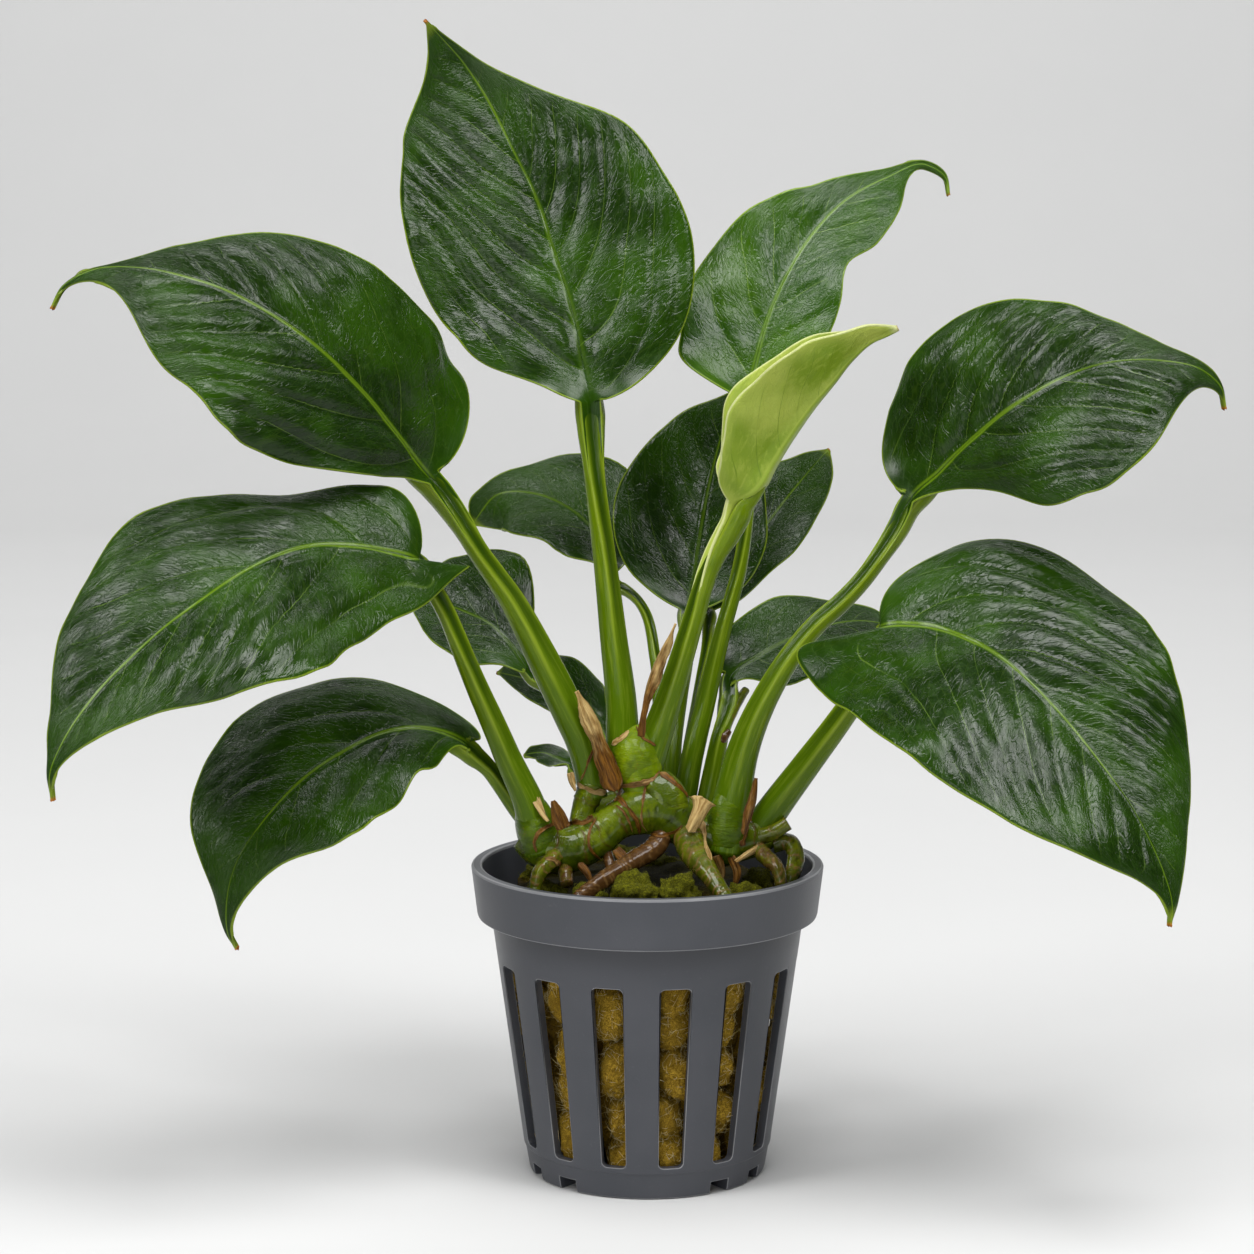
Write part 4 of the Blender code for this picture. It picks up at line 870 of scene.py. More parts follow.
def stalk_finish(name, low, high, pale, dark, gloss):
    finish = Finish(name, roughness=gloss, Specular_IOR_Level=0.16)
    grain = finish.fact("grain")
    rise = finish.fact("rise")
    streaks = finish.noise(finish.stretch(grain, (2.2, 2.2, 0.12)), 1.0, 3.0, 0.55)
    blotch = finish.noise(grain, 0.22, 2.0)
    colour = finish.mix(finish.between(rise, 0.0, 0.8), low, high)
    colour = finish.mix(finish.between(blotch, 0.35, 0.75, 0, 0.5), colour, low)
    colour = finish.mix(finish.between(streaks, 0.45, 0.8, 0, 0.35), colour, pale)
    # painted shade: the channel down the upper side is darkened, most towards the blade
    shade = finish.math("MULTIPLY", finish.fact("groove"), finish.between(rise, 0.1, 0.8, 0.5, 0.95))
    colour = finish.mix(shade, colour, dark)
    colour = finish.mix(finish.math("MULTIPLY", finish.fact("stripe"), 0.7), colour, pale)
    finish.set("Base Color", colour)
    finish.bump(finish.noise(finish.stretch(grain, (2.6, 2.6, 0.25)), 1.2, 3.0, 0.6), 0.08)
    return finish.material


# Rings round each stem piece, as shares of its length
RING_SCARS = {
    "rhizome": (0.05, 0.14, 0.235, 0.31, 0.39, 0.74, 0.9),
    "rhizome_crown": (0.3, 0.75),
    "rhizome_fork": (0.25, 0.6),
    "rhizome_back": (0.2, 0.4, 0.6, 0.8),
}
ROOT_BROWN = {"root_left": 0.0, "root_long": 0.6, "root_front": 0.0, "root_right": 0.3, "root_arch": -0.2}

# Swollen joints of the stem: the two ends of each one's axis and its radius
BULBS = {
    "middle": dict(ends=((0.9, -5.6, 58.6), (3.9, -6.1, 48.6)), radius=3.45, kind="old"),
    "crown": dict(ends=((-1.5, -5.4, 55.2), (-2.1, -2.2, 64.7)), radius=3.75, kind="fresh"),
    "right": dict(ends=((10.5, -6.6, 44.9), (11.4, -6.2, 56.5)), radius=3.15, kind="foot"),
    "left": dict(ends=((-14.2, -8.9, 45.6), (-16.6, -8.4, 55.6)), radius=2.9, kind="foot"),
}

# Short stems that end free or under a blade: path, radii and how brown each one is
STUBS = {
    "cut": dict(path=((15.6, -6.4, 49.2), (17.4, -6.8, 49.9), (19.6, -6.8, 51.3)), radii=(1.3, 1.15, 1.05),
                brown=0.1),
    "side": dict(path=((10.2, 3.6, 60.9), (11.2, 4.4, 63.1), (12.6, 6.5, 65.6), (14.2, 9.2, 67.6)),
                 radii=(0.9, 0.8, 0.75, 0.6), brown=0),
    "node": dict(path=((10, 2.4, 60.4), (10.8, 2.9, 61.7), (11.7, 3.3, 62.7)), radii=(0.45, 0.7, 0.4),
                 brown=0.6),
    "low_left": dict(path=((-11.8, -9.6, 46.4), (-11.4, -12, 45), (-11.2, -13.4, 44)), radii=(0.8, 1.0, 0.85),
                     brown=0.35),
    "low_middle": dict(path=((-5.8, -8.4, 48), (-5.2, -10.6, 45.9), (-4.8, -11.6, 44.9)),
                       radii=(0.7, 0.85, 0.7), brown=0.6),
}

# Papery edges that lie on the stems: across and height of the points of each one's line as seen from the
# front, with its half width, how far its edge lifts and how pale it is
EDGES = {
    "crown_foot": dict(line=((-4.6, 55.7), (-3.5, 56.5), (-1.8, 57.0), (-0.1, 57.3), (1.0, 57.8),
                             (1.7, 58.6)), half=0.4, lift=0.3, pale=0.4),
    "crown_side": dict(line=((1.5, 58.4), (2.7, 57.8), (4.0, 56.9), (5.0, 55.9), (5.6, 54.8)),
                       half=0.3, lift=0.4, pale=0.3),
    "neck_ridge": dict(line=((-5.1, 54.9), (-4.0, 54.9), (-2.9, 54.0), (-2.0, 52.7), (-1.2, 51.3),
                             (-1.3, 50.0)), half=0.32, lift=0.3, pale=0.25),
    "neck_line": dict(line=((-4.6, 54.2), (-3.6, 53.6), (-2.8, 52.5), (-2.4, 51.3), (-2.1, 50.2)),
                      half=0.15, lift=0.15, pale=0.2),
    "stem_scar": dict(line=((-7.0, 52.7), (-7.8, 51.5), (-8.2, 50.4), (-8.2, 49.1), (-7.4, 47.7),
                            (-6.4, 46.6)), half=0.16, lift=0.15, pale=0.2),
    "left_foot": dict(line=((-11.8, 51.3), (-13.0, 51.9), (-14.3, 51.5), (-15.3, 50.6), (-15.7, 49.3),
                            (-15.4, 47.9)), half=0.22, lift=0.25, pale=0.3),
    "fork_collar": dict(line=((-10.1, 56.9), (-8.9, 56.3), (-7.4, 55.7), (-5.7, 55.3)),
                        half=0.34, lift=0.3, pale=0.55),
    "fork_foot": dict(line=((-11.4, 51.3), (-10.3, 51.5), (-9.1, 51.6), (-8.2, 52), (-7.4, 52.6)),
                      half=0.4, lift=0.5, pale=0.3),
    "crown_wedge": dict(line=((-5.2, 62.0), (-4.4, 62.5), (-3.5, 63.0), (-2.6, 64.2)),
                        half=0.42, lift=0.05, pale=1.0),
    "young_foot": dict(line=((-1.7, 64.6), (-0.9, 63.4), (0.2, 62.6), (1.3, 62.0)),
                       half=0.2, lift=0.15, pale=0.2),
    "bulb_foot": dict(line=((0.2, 50.0), (1.2, 49.8), (2.7, 50.0), (4.1, 50.7), (4.9, 51.5)),
                      half=0.2, lift=0.2, pale=0.25),
    "bulb_side": dict(line=((-0.3, 57.0), (-0.6, 55.2), (-0.9, 53.2), (-0.7, 51.4), (0.0, 50.2)),
                      half=0.16, lift=0.15, pale=0.35),
    "fork_leaf": dict(line=((-7.5, 61.9), (-8.3, 60.0), (-8.9, 58.2), (-9.4, 57.1)),
                      half=0.16, lift=0.2, pale=0.3),
    "right_foot": dict(line=((7.7, 51.9), (7.7, 50.4), (8.0, 48.9), (8.8, 47.3)),
                       half=0.3, lift=0.3, pale=0.6),
    "left_root": dict(line=((-14.3, 47.4), (-13.4, 47.6), (-12.6, 47.1), (-12.3, 46.0)),
                      half=0.3, lift=0.3, pale=0.35),
    "right_end": dict(line=((14.4, 52.0), (13.8, 50.6), (13.3, 49.2), (12.9, 48.2)),
                      half=0.35, lift=0.4, pale=0.2),
}

# How the sheaths differ: widths along each, how pale it is and how much paler its tip
SHEATH_LOOKS = {
    "sheath_left": dict(shares=(0.9, 1.2, 1.3, 1.15, 0.9, 0.85, 0.8, 0.5, 0.12), pale=0.4, fade=1.0),
    "sheath_crown": dict(shares=(0.35, 0.4, 0.6, 0.9, 1.2, 1.3, 1.1, 0.7, 0.15), pale=0.4, fade=0.5),
    "sheath_wrap": dict(shares=(1.5, 1.3, 1.1, 1, 1, 1, 0.95, 0.85, 0.6), pale=0.95),
    "sheath_right": dict(pale=0.25),
    "sheath_low": dict(pale=0.2),
}

# Loose husks: the path of each, its half width and the way it faces
HUSKS = {
    "membrane": dict(path=((-16.4, -9.8, 57.3), (-15.2, -10.9, 55.2), (-13.6, -11.8, 52.6)), width=0.7,
                     faces=(0.4, -1, 0.3), pale=0.9),
    "hanging": dict(path=((9.6, -9.4, 47.2), (10.4, -10, 44.9), (10.2, -10.4, 42.9)), width=0.8,
                    faces=(0.2, -1, 0.1), pale=0.35),
    "hanging_right": dict(path=((11.6, -9.2, 47), (12.4, -9.8, 44.8), (12.1, -10.2, 42.8)), width=0.6,
                          faces=(-0.3, -1, 0.1), pale=0.3),
    "left_collar": dict(path=((-10.9, -6.2, 58.3), (-10.6, -6.9, 57), (-10.1, -7.2, 55.9)), width=0.5,
                        faces=(-0.6, -1, 0.1), pale=0.6),
    "low_right": dict(path=((15.8, -8, 48.6), (14, -9.4, 47.6), (12.2, -10, 46.4)), width=0.7,
                      faces=(0, -0.8, 0.6), pale=0.7),
    "low_left": dict(path=((-9.6, -11.6, 46.6), (-8.4, -12.2, 45.2), (-7.6, -12.4, 43.6)), width=0.8,
                     faces=(0, -1, 0.3), pale=0.1),
    "under": dict(path=((-4.4, -10.6, 48.4), (-3.2, -11.2, 47), (-2.8, -11.4, 45.2)), width=0.7,
                  faces=(0.2, -1, 0.2), pale=0.1),
}


def ringed_tube(name, path, radii, scars, rows, sides, finish, slot, nodes, wrinkle=0.035, swell=0.2,
                step=0.12, brown=0.0):
    """A stem or root with a raised brown ring at each scar and fine wrinkles round it."""
    seed = name_seed(name)
    length = path_length(path)
    scars = np.asarray(scars, float)
    rings, grain, along, angle = tube_grid(path, radii, rows, sides, (0.1, -0.7, 0.7))
    around = side_by_side(np.cos(angle) * 1.3, np.sin(angle) * 1.3, along * length / 4)
    shift = (0.9 * noise(around * 0.9, seed) + 0.25 * noise(around * 2.4, seed + 1)) / length
    place = along + shift
    ridge = np.zeros_like(place)
    lip = np.zeros_like(place)
    for number, scar in enumerate(scars):
        gap = (place - scar) * length
        clear = np.clip(0.75 + 0.9 * noise(around * 1.1 + number * 5.3, seed + 2), 0.15, 1.2)
        ridge = np.maximum(ridge, clear * np.exp(-(gap / 0.15) ** 2))
        lip = np.maximum(lip, clear * np.where(gap > 0, np.exp(-gap / 0.7), 0))
    fine = noise(side_by_side(np.cos(angle) * 1.7, np.sin(angle) * 1.7, place * length / 0.42), seed + 3)
    lump = noise(around * 0.8, seed + 5)
    patch = smooth_step(noise(around * 1.2, seed + 9), -0.3, 0.5)
    ends = np.clip(np.minimum(along, 1 - along) * length, 0, 1)
    lift = (step * ridge + 0.5 * step * lip + wrinkle * (0.4 + patch) * fine + swell * lump) * ends
    centre = rings.mean(axis=1, keepdims=True)
    rings = rings + unit(rings - centre) * lift[..., None]
    scar = np.clip(ridge * (1 + 0.7 * noise(around * 4, seed + 7)), 0, 1)
    # the wrinkle fact marks the troughs of the fine wrinkles, where the finish paints shade
    return tube_piece(name, rings, grain, finish, slot, nodes, scar=scar, brown=np.full(scar.shape, brown),
                      wrinkle=np.clip(-fine * patch, 0, 1))


def stem_finish(name, green, bright, dark, scar, brown, gloss, coat):
    """Glossy green skin with brown ring scars and brown patches, the troughs of its fine wrinkles darkened as
    painted shade.
    """
    finish = Finish(name, roughness=gloss, Specular_IOR_Level=0.12, Coat_Weight=coat, Coat_Roughness=0.05)
    grain = finish.fact("grain")
    patches = finish.noise(grain, 0.2, 3.0, 0.6, 0.4)
    specks = finish.noise(grain, 1.6, 3.0, 0.6)
    colour = finish.mix(finish.between(patches, 0.4, 0.6), green, bright)
    colour = finish.mix(finish.between(finish.noise(grain, 0.5, 3.0, 0.6), 0.5, 0.7, 0, 0.75), colour, dark)
    # painted shade: the troughs of the fine wrinkles are darkened
    colour = finish.mix(finish.between(finish.fact("wrinkle"), 0.1, 0.7, 0, 0.65), colour, dark)
    colour = finish.mix(finish.between(specks, 0.6, 0.76, 0, 0.45), colour, brown)
    rust = finish.math("ADD", finish.noise(grain, 0.55, 4.0, 0.65, 0.5), finish.fact("brown"))
    colour = finish.mix(finish.between(rust, 0.62, 0.95), colour, brown)
    colour = finish.mix(finish.math("MULTIPLY", finish.fact("scar"), 0.85), colour, scar)
    finish.set("Base Color", colour)
    finish.bump(finish.noise(finish.stretch(grain, (0.6, 0.6, 1.8)), 1.1, 4.0, 0.6, 0.8), 0.2)
    return finish.material


def bulb_piece(name, ends, radius, finish):
    """A swollen joint, round at both ends, with fine wrinkles across it."""
    share = np.linspace(0, 1, 17)
    ends = np.array(ends)
    path = ends[0] + (ends[1] - ends[0]) * share[:, None]
    radii = np.append(radius * np.sqrt(1 - (2 * share[:-1] - 1) ** 2), 0.02)
    radii[0] = 0.02
    return ringed_tube("joint_" + name, path, radii, (), 50, 64, finish, "rhizome_skin", (), wrinkle=0.04,
                       swell=0.35)


# Each skin's dark colour is used for darker patches and for the painted shade in its wrinkles' troughs
STEM_SKINS = {
    "old": dict(name="rhizome_surface", green=(0.05, 0.08, 0.0008), bright=(0.115, 0.155, 0.0012),
                dark=(0.014, 0.024, 0.0006), scar=(0.07, 0.026, 0.005), brown=(0.11, 0.055, 0.005),
                gloss=0.19, coat=0.38),
    "fresh": dict(name="crown_surface", green=(0.09, 0.145, 0.001), bright=(0.16, 0.23, 0.0015),
                  dark=(0.055, 0.09, 0.001), scar=(0.09, 0.04, 0.006), brown=(0.2, 0.16, 0.004),
                  gloss=0.22, coat=0.12),
    "foot": dict(name="foot_surface", green=(0.055, 0.10, 0.001), bright=(0.085, 0.14, 0.001),
                 dark=(0.035, 0.065, 0.001), scar=(0.09, 0.04, 0.006), brown=(0.14, 0.10, 0.004),
                 gloss=0.2, coat=0.12),
    "root": dict(name="root_surface", green=(0.05, 0.065, 0.0012), bright=(0.11, 0.13, 0.002),
                 dark=(0.018, 0.016, 0.0015), scar=(0.17, 0.09, 0.028), brown=(0.068, 0.03, 0.008),
                 gloss=0.17, coat=0.4),
}


def build_stems():
    """The rhizome, roots and stubs. Returns the pieces that papery edges may lie on."""
    skins = {kind: stem_finish(**skin) for kind, skin in STEM_SKINS.items()}
    made = []
    for name, piece in RHIZOME.items():
        length = path_length(piece["path"])
        skin = skins["fresh" if name == "rhizome_crown" else "old"]
        made.append(ringed_tube("stem_" + name, piece["path"], piece["radii"], RING_SCARS[name],
                                int(length * 5), STEM_SIDES, skin, "rhizome_skin", (name,)))
    for name, bulb in BULBS.items():
        made.append(bulb_piece(name, bulb["ends"], bulb["radius"], skins[bulb["kind"]]))
    rng = np.random.default_rng(3)
    for name, root in ROOTS.items():
        length = path_length(root["path"])
        scars = np.linspace(0.03, 0.97, int(length))
        scars = scars + rng.uniform(-0.42, 0.42, len(scars)) / length
        made.append(ringed_tube("strand_" + name, root["path"], root["radii"], scars, int(length * 6.5),
                                ROOT_SIDES, skins["root"], "root_skin", (name,), wrinkle=0.04, step=0.05,
                                brown=ROOT_BROWN[name]))
    for name, stub in STUBS.items():
        ringed_tube("stub_" + name, stub["path"], stub["radii"], (0.5, 0.96), 40, STUB_SIDES, skins["root"],
                    "root_skin", (), swell=0.12, step=0.06, brown=stub["brown"])
    return made


def surface_tree(pieces):
    """The outer surfaces of finished pieces, to lay thin edges on, in millimetres."""
    points, faces = [], []
    for piece in pieces:
        start = len(points)
        points += [point.co / MM for point in piece.data.vertices]
        faces += [[start + corner for corner in face.vertices] for face in piece.data.polygons]
    return BVHTree.FromPolygons(points, faces)


def edge_piece(name, line, half, lift, pale, tree, finish):
    """A thin ragged papery edge that follows a line over the front of the stems."""
    seed = name_seed(name)
    line = np.array(line)
    length = path_length(line)
    steps = max(12, int(length * 6))
    run = smooth_path(line, np.linspace(0, 1, steps))
    centre, outward = [], []
    for across, height in run:
        spot, normal = tree.ray_cast(Vector((across, -60, height)), Vector((0, 1, 0)))[:2]
        if spot is None or spot.y > -2.5:
            spot, normal = tree.find_nearest(Vector((across, -8, height)))[:2]
        centre.append(spot)
        outward.append(normal if normal.y < 0 else -normal)
    centre, outward = np.array(centre), unit(np.array(outward))
    kernel = np.exp(-(np.arange(-4, 5) / 2.0) ** 2)
    weight = np.convolve(np.ones(steps), kernel, "same")[:, None]
    centre, outward = [np.stack([np.convolve(axis, kernel, "same") for axis in rough.T], axis=1) / weight
                       for rough in (centre, outward)]
    outward = unit(outward)
    aside = unit(np.cross(outward, unit(np.gradient(centre, axis=0))))
    share = np.linspace(-1, 1, EDGE_COLUMNS)
    along = np.arange(steps) / (steps - 1)
    row, column = np.meshgrid(along * length, share, indexing="ij")
    flow = side_by_side(row * 1.1, np.sign(column) * 3.0, 0.0)
    taper = np.clip(np.minimum(along, 1 - along) * length / 0.6, 0.15, 1)[:, None]
    reach = half * taper * (1 + 0.55 * noise(flow, seed) + 0.3 * noise(flow * 3.1, seed + 1)) * column
    grid = centre[:, None] + aside[:, None] * reach[..., None]
    flat = grid.reshape(-1, 3)
    near = np.array([tree.find_nearest(Vector(point))[0] for point in flat])
    sunk = ((flat - near) * np.repeat(outward, len(share), axis=0)).sum(axis=1) < 0
    flat = np.where(sunk[:, None], near, 0.5 * (flat + near))
    grid = flat.reshape(*column.shape, 3)
    edge = np.clip(column, 0, 1) ** 2
    rise = 0.07 + lift * edge * (0.6 + 0.6 * noise(flow * 0.9, seed + 2)) + 0.05 * noise(flow * 4, seed + 3)
    top = grid + outward[:, None] * np.maximum(rise, 0.03)[..., None]
    under = top - outward[:, None] * 0.07
    grain = side_by_side(column * half, row, float(seed % 17))
    facts = dict(edge=1 - abs(column), pale=np.full(column.shape, pale))
    faces, points, facts, grain = two_sided(top, under, facts, grain)
    build_mesh("edge_" + name, points, faces, finish, "papery_sheath", grain=grain, **facts)


def sheath_piece(name, sheath, finish, nodes):
    """A thin crumpled husk with a ragged edge, round the foot of a stalk."""
    seed = name_seed(name)
    width = sheath["width"]
    shares = sheath.get("shares", (0.8, 0.9, 1, 1, 0.95, 0.85, 0.7, 0.45, 0.25))
    widths = [width * share for share in shares]
    length = path_length(sheath["path"])
    leaf = dict(spine=sheath["path"], length=length, lead=0.001, channel=0.4, mouth=0.4, neck=0,
                faces=(sheath["faces"],) * 3, left=widths, right=widths, fold=(-15, -15, -15),
                curl=(-50, -50), lobes=(0, 0), wave=(0, 1))
    row, column = np.meshgrid(np.linspace(0.003, 1, int(length * 6)), np.linspace(-1, 1, HUSK_COLUMNS),
                              indexing="ij")
    flow = side_by_side(row * length / 1.6, np.sign(column) * 3.0, 0.0)
    ragged = column * (1 + 0.16 * noise(flow, seed) + 0.06 * noise(flow * 4, seed))
    grid = blade_surface(leaf, row.ravel(), np.clip(ragged, -1.2, 1.2).ravel()).reshape(*row.shape, 3)
    normal = grid_normals(grid)
    folds = np.zeros_like(row)
    for number, (depth, run, turns) in enumerate(((0.3, 5, 1.3), (0.1, 2.5, 4), (0.05, 3, 9)), 1):
        folds += depth * noise(side_by_side(row * length / run, column * width * turns, 0.0), seed + number)
    top = grid + normal * (folds + 0.04)[..., None]
    under = grid + normal * (folds - 0.05)[..., None]
    grain = side_by_side(column * width, row * length, float(seed % 17))
    pale = np.clip(sheath.get("pale", 0.5) + sheath.get("fade", 0) * (row - 0.5), 0, 1)
    faces, points, facts, grain = two_sided(top, under, dict(edge=1 - abs(column), pale=pale), grain)
    build_mesh("husk_" + name, points, faces, finish, "papery_sheath", nodes, grain=grain, **facts)


def sheath_finish():
    """Dry papery skin, from dark brown to pale tan, with streaks along it."""
    finish = Finish("papery_husk", roughness=0.35, Specular_IOR_Level=0.16)
    grain = finish.fact("grain")
    pale = finish.fact("pale")
    streaks = finish.noise(finish.stretch(grain, (5.0, 0.35, 1)), 1.0, 4.0, 0.65, 0.3)
    patches = finish.noise(finish.stretch(grain, (1.6, 0.5, 1)), 0.7, 3.0, 0.6)
    brown = finish.mix(finish.between(streaks, 0.35, 0.68), (0.05, 0.018, 0.002), (0.2, 0.085, 0.01))
    tan = finish.mix(finish.between(streaks, 0.3, 0.62), (0.24, 0.13, 0.03), (0.52, 0.37, 0.15))
    shade = finish.math("ADD", pale, finish.math("MULTIPLY_ADD", patches, 0.9, -0.45))
    colour = finish.mix(finish.between(shade, 0.25, 0.7), brown, tan)
    colour = finish.mix(finish.between(finish.fact("edge"), 0.0, 0.12, 0.6, 0), colour, (0.10, 0.045, 0.015))
    finish.set("Base Color", colour)
    finish.bump(streaks, 0.12)
    return finish.material


def wall_inside(height):
    """The radius of the inside of the pot's wall."""
    share = (height - WALL_FOOT) / (BAND_FOOT - WALL_FOOT)
    inside = WALL_FOOT_RADIUS + share * (WALL_TOP_RADIUS - WALL_FOOT_RADIUS) - WALL
    return np.minimum(inside, WALL_TOP_RADIUS - WALL)


def wool_core(finish):
    """The middle of the plug behind the lumps, lumpy all over."""
    rows, columns = 60, 126
    foot = FLOOR + 0.4
    share = np.linspace(0, 1, rows)
    height = foot + (WOOL_TOP - 1.2 - foot) * share
    angle = np.linspace(0, 2 * math.pi, columns, endpoint=False)
    tall, turn = np.meshgrid(height, angle, indexing="ij")
    flow = side_by_side(np.cos(turn) * 6, np.sin(turn) * 6, tall / 2.6)
    radius = wall_inside(tall) - 2.9 + 1.1 * noise(flow, 4)
    rings = side_by_side(np.sin(turn) * radius, -np.cos(turn) * radius, tall)
    lid = []
    for step, reach in enumerate((0.9, 0.75, 0.55, 0.35, 0.15)):
        level = WOOL_TOP - 0.9 + 0.25 * step
        base = rings[-1] * (reach, reach, 0)
        base[:, 2] = level + 0.8 * noise(base * (0.4, 0.4, 1), 9)
        lid.append(base)
    rings = np.concatenate([rings, lid])
    tube_piece("wool_core", rings, rings, finish, "mineral_wool", ("wool",), green=top_green(rings[..., 2]))


def top_green(height):
    """How mossy the wool is, from none to full near its top."""
    return np.clip((height - WOOL_TOP + 3.5) / 3.0, 0, 1)


def wool_lumps():
    """The turn, middle and half size of each lump of the strings behind the slots."""
    rng = np.random.default_rng(7)
    lumps = []
    for slot in range(SLOT_COUNT):
        turn = math.radians(FIRST_SLOT + SLOT_PITCH * slot)
        height = LUMP_FOOT + rng.uniform(0, 2.5)
        while height < LUMP_END:
            half = np.array(LUMP_HALF) * rng.uniform(*LUMP_SPREAD, 3)
            aside = rng.uniform(-0.9, 0.9)
            radius = wall_inside(height) - half[1] + rng.uniform(-0.35, 0.35)
            lumps.append((turn, np.array([aside, radius, height]), half))
            height += half[2] * rng.uniform(1.6, 1.95)
    return lumps


# Middle and half size of each lump on top of the wool
TOP_LUMPS = (((-1.6, -15.5, 43.0), (3.3, 2.8, 3.0)), ((4.2, -15.6, 42.6), (2.9, 2.6, 2.9)),
             ((-8.0, -14.8, 41.6), (2.6, 2.4, 2.4)), ((12.8, -13.5, 41.6), (2.6, 2.4, 2.4)),
             ((-14.0, -10.0, 41.4), (2.6, 2.6, 2.2)), ((15.6, -3.0, 41.4), (2.4, 2.8, 2.4)),
             ((-14.5, 3.0, 41.6), (3.2, 3.0, 2.2)), ((10.0, 12.0, 41.6), (3.4, 3.2, 2.2)),
             ((-4.0, 15.0, 41.6), (3.6, 3.0, 2.2)), ((1.0, 9.0, 41.8), (3.6, 3.0, 2.0)))


def dented(directions, number, on_top):
    """Points of an uneven ball, in the given directions from its middle."""
    deep, size, fine = (0.34, 2.4, 0.2) if on_top else (0.16, 1.7, 0.1)
    reach = 1 + deep * noise(directions * size + number * 3.7, 2)
    reach += fine * noise(directions * 4.5 + number, 3)
    return directions * reach[:, None]


def wool_pieces(finish, fibre_finish):
    """Matted lumps, and the loose fibres that stand off them."""
    ball = bmesh.new()
    bmesh.ops.create_icosphere(ball, subdivisions=4, radius=1.0)
    sphere = np.array([point.co[:] for point in ball.verts])
    sphere_faces = np.array([[point.index for point in face.verts] for face in ball.faces])
    ball.free()
    points, faces, fibres, places, count = [], [], [], [], 0
    rng = np.random.default_rng(11)
    for turn, middle, half in wool_lumps():
        cos, sin = math.cos(turn), math.sin(turn)
        spin = np.array([[cos, -sin, 0], [sin, cos, 0], [0, 0, 1]])
        places.append((spin, middle * (1, -1, 1), half, (0, -1, 0), SLOT_FIBRES))
    for middle, half in TOP_LUMPS:
        places.append((np.eye(3), np.array(middle), np.array(half), (0, -0.5, 0.85), TOP_FIBRES))
    for number, (spin, middle, half, outward, share) in enumerate(places):
        on_top = outward[2] > 0
        local = dented(sphere, number, on_top) * half + middle
        points.append(local @ spin.T)
        faces.append(sphere_faces + count)
        count += len(sphere)
        seeds = unit(rng.normal(size=(share * 3, 3)))
        front = seeds @ np.asarray(outward)
        seeds = seeds[(front > 0) & (front < rng.uniform(0.4, 1.5, len(front)))][:share]
        begin = dented(seeds, number, on_top) * half + middle
        lean = unit(rng.normal(size=seeds.shape) + (0.4 * math.sin(number), 0, 0.7))
        lean = unit(lean - 0.9 * (lean * seeds).sum(axis=1, keepdims=True) * seeds)
        long = rng.uniform(0.6, 1.5, size=(len(seeds), 1)) * (0.45 if on_top else 1)
        bend = rng.normal(size=seeds.shape) * 0.8
        step = np.linspace(0, 1, FIBRE_STEPS)[None, :, None]
        run = (begin[:, None] + (lean * long)[:, None] * step + (bend * long)[:, None] * step**2 * 0.5
               + (seeds * 0.16)[:, None] * np.sin(step * math.pi))
        fibres.append(run @ spin.T)
    points = np.concatenate(points)
    build_mesh("wool_lumps", points, np.concatenate(faces), finish, "mineral_wool", grain=points,
               green=top_green(points[:, 2]))
    strands = np.concatenate(fibres)
    reach = np.linalg.norm(strands[..., :2], axis=-1, keepdims=True)
    most = wall_inside(strands[..., 2:]) + 0.35
    below = strands[..., 2:] < BAND_FOOT
    most = np.where(below, most, RIM_RADIUS - 2.6)
    strands[..., :2] *= np.minimum(1, most / reach)
    strands[..., 2] = np.maximum(strands[..., 2], FLOOR + 0.2)
    thread_piece("wool_fibres", strands, FIBRE_RADIUS, fibre_finish)


def thread_piece(name, strands, radius, finish):
    """Many thin three-sided threads in one mesh."""
    count, steps = strands.shape[:2]
    ahead = unit(np.gradient(strands, axis=1))
    side = unit(np.cross(ahead, (0.31, 0.52, 0.79)))
    other = np.cross(ahead, side)
    turns = 2 * math.pi * np.arange(3) / 3
    thin = radius * (1 - 0.6 * np.linspace(0, 1, steps) ** 2)[None, :, None, None]
    ring = (strands[:, :, None] + thin * (np.cos(turns)[None, None, :, None] * side[:, :, None]
                                          + np.sin(turns)[None, None, :, None] * other[:, :, None]))
    index = np.arange(count * steps * 3).reshape(count, steps, 3)
    turned = np.roll(index, -1, axis=2)
    walls = np.stack([index[:, :-1], turned[:, :-1], turned[:, 1:], index[:, 1:]], axis=-1).reshape(-1, 4)
    ends = [list(row[::-1]) for row in index[:, 0]] + [list(row) for row in index[:, -1]]
    points = ring.reshape(-1, 3)
    build_mesh(name, points, list(walls) + ends, finish, "mineral_wool", grain=points,
               green=top_green(points[:, 2]))


def wool_finish(name, dark, light, green, scale):
    """Matted fibre in two tones, mossy near the top."""
    finish = Finish(name, roughness=0.8, Specular_IOR_Level=0.12)
    grain = finish.fact("grain")
    patches = finish.noise(grain, 0.28, 3.0, 0.6)
    hairs = finish.noise(finish.stretch(grain, (1.4, 1.4, 1.4)), scale, 4.0, 0.7, 2.5)
    colour = finish.mix(finish.between(hairs, 0.35, 0.68), dark, light)
    colour = finish.mix(finish.between(patches, 0.45, 0.7, 0, 0.6), colour, dark)
    moss = finish.mix(finish.between(hairs, 0.4, 0.62), [part * 0.3 for part in green], green)
    colour = finish.mix(finish.math("MULTIPLY", finish.fact("green"), 0.95), colour, moss)
    finish.set("Base Color", colour)
    finish.bump(hairs, 0.55)
    return finish.material


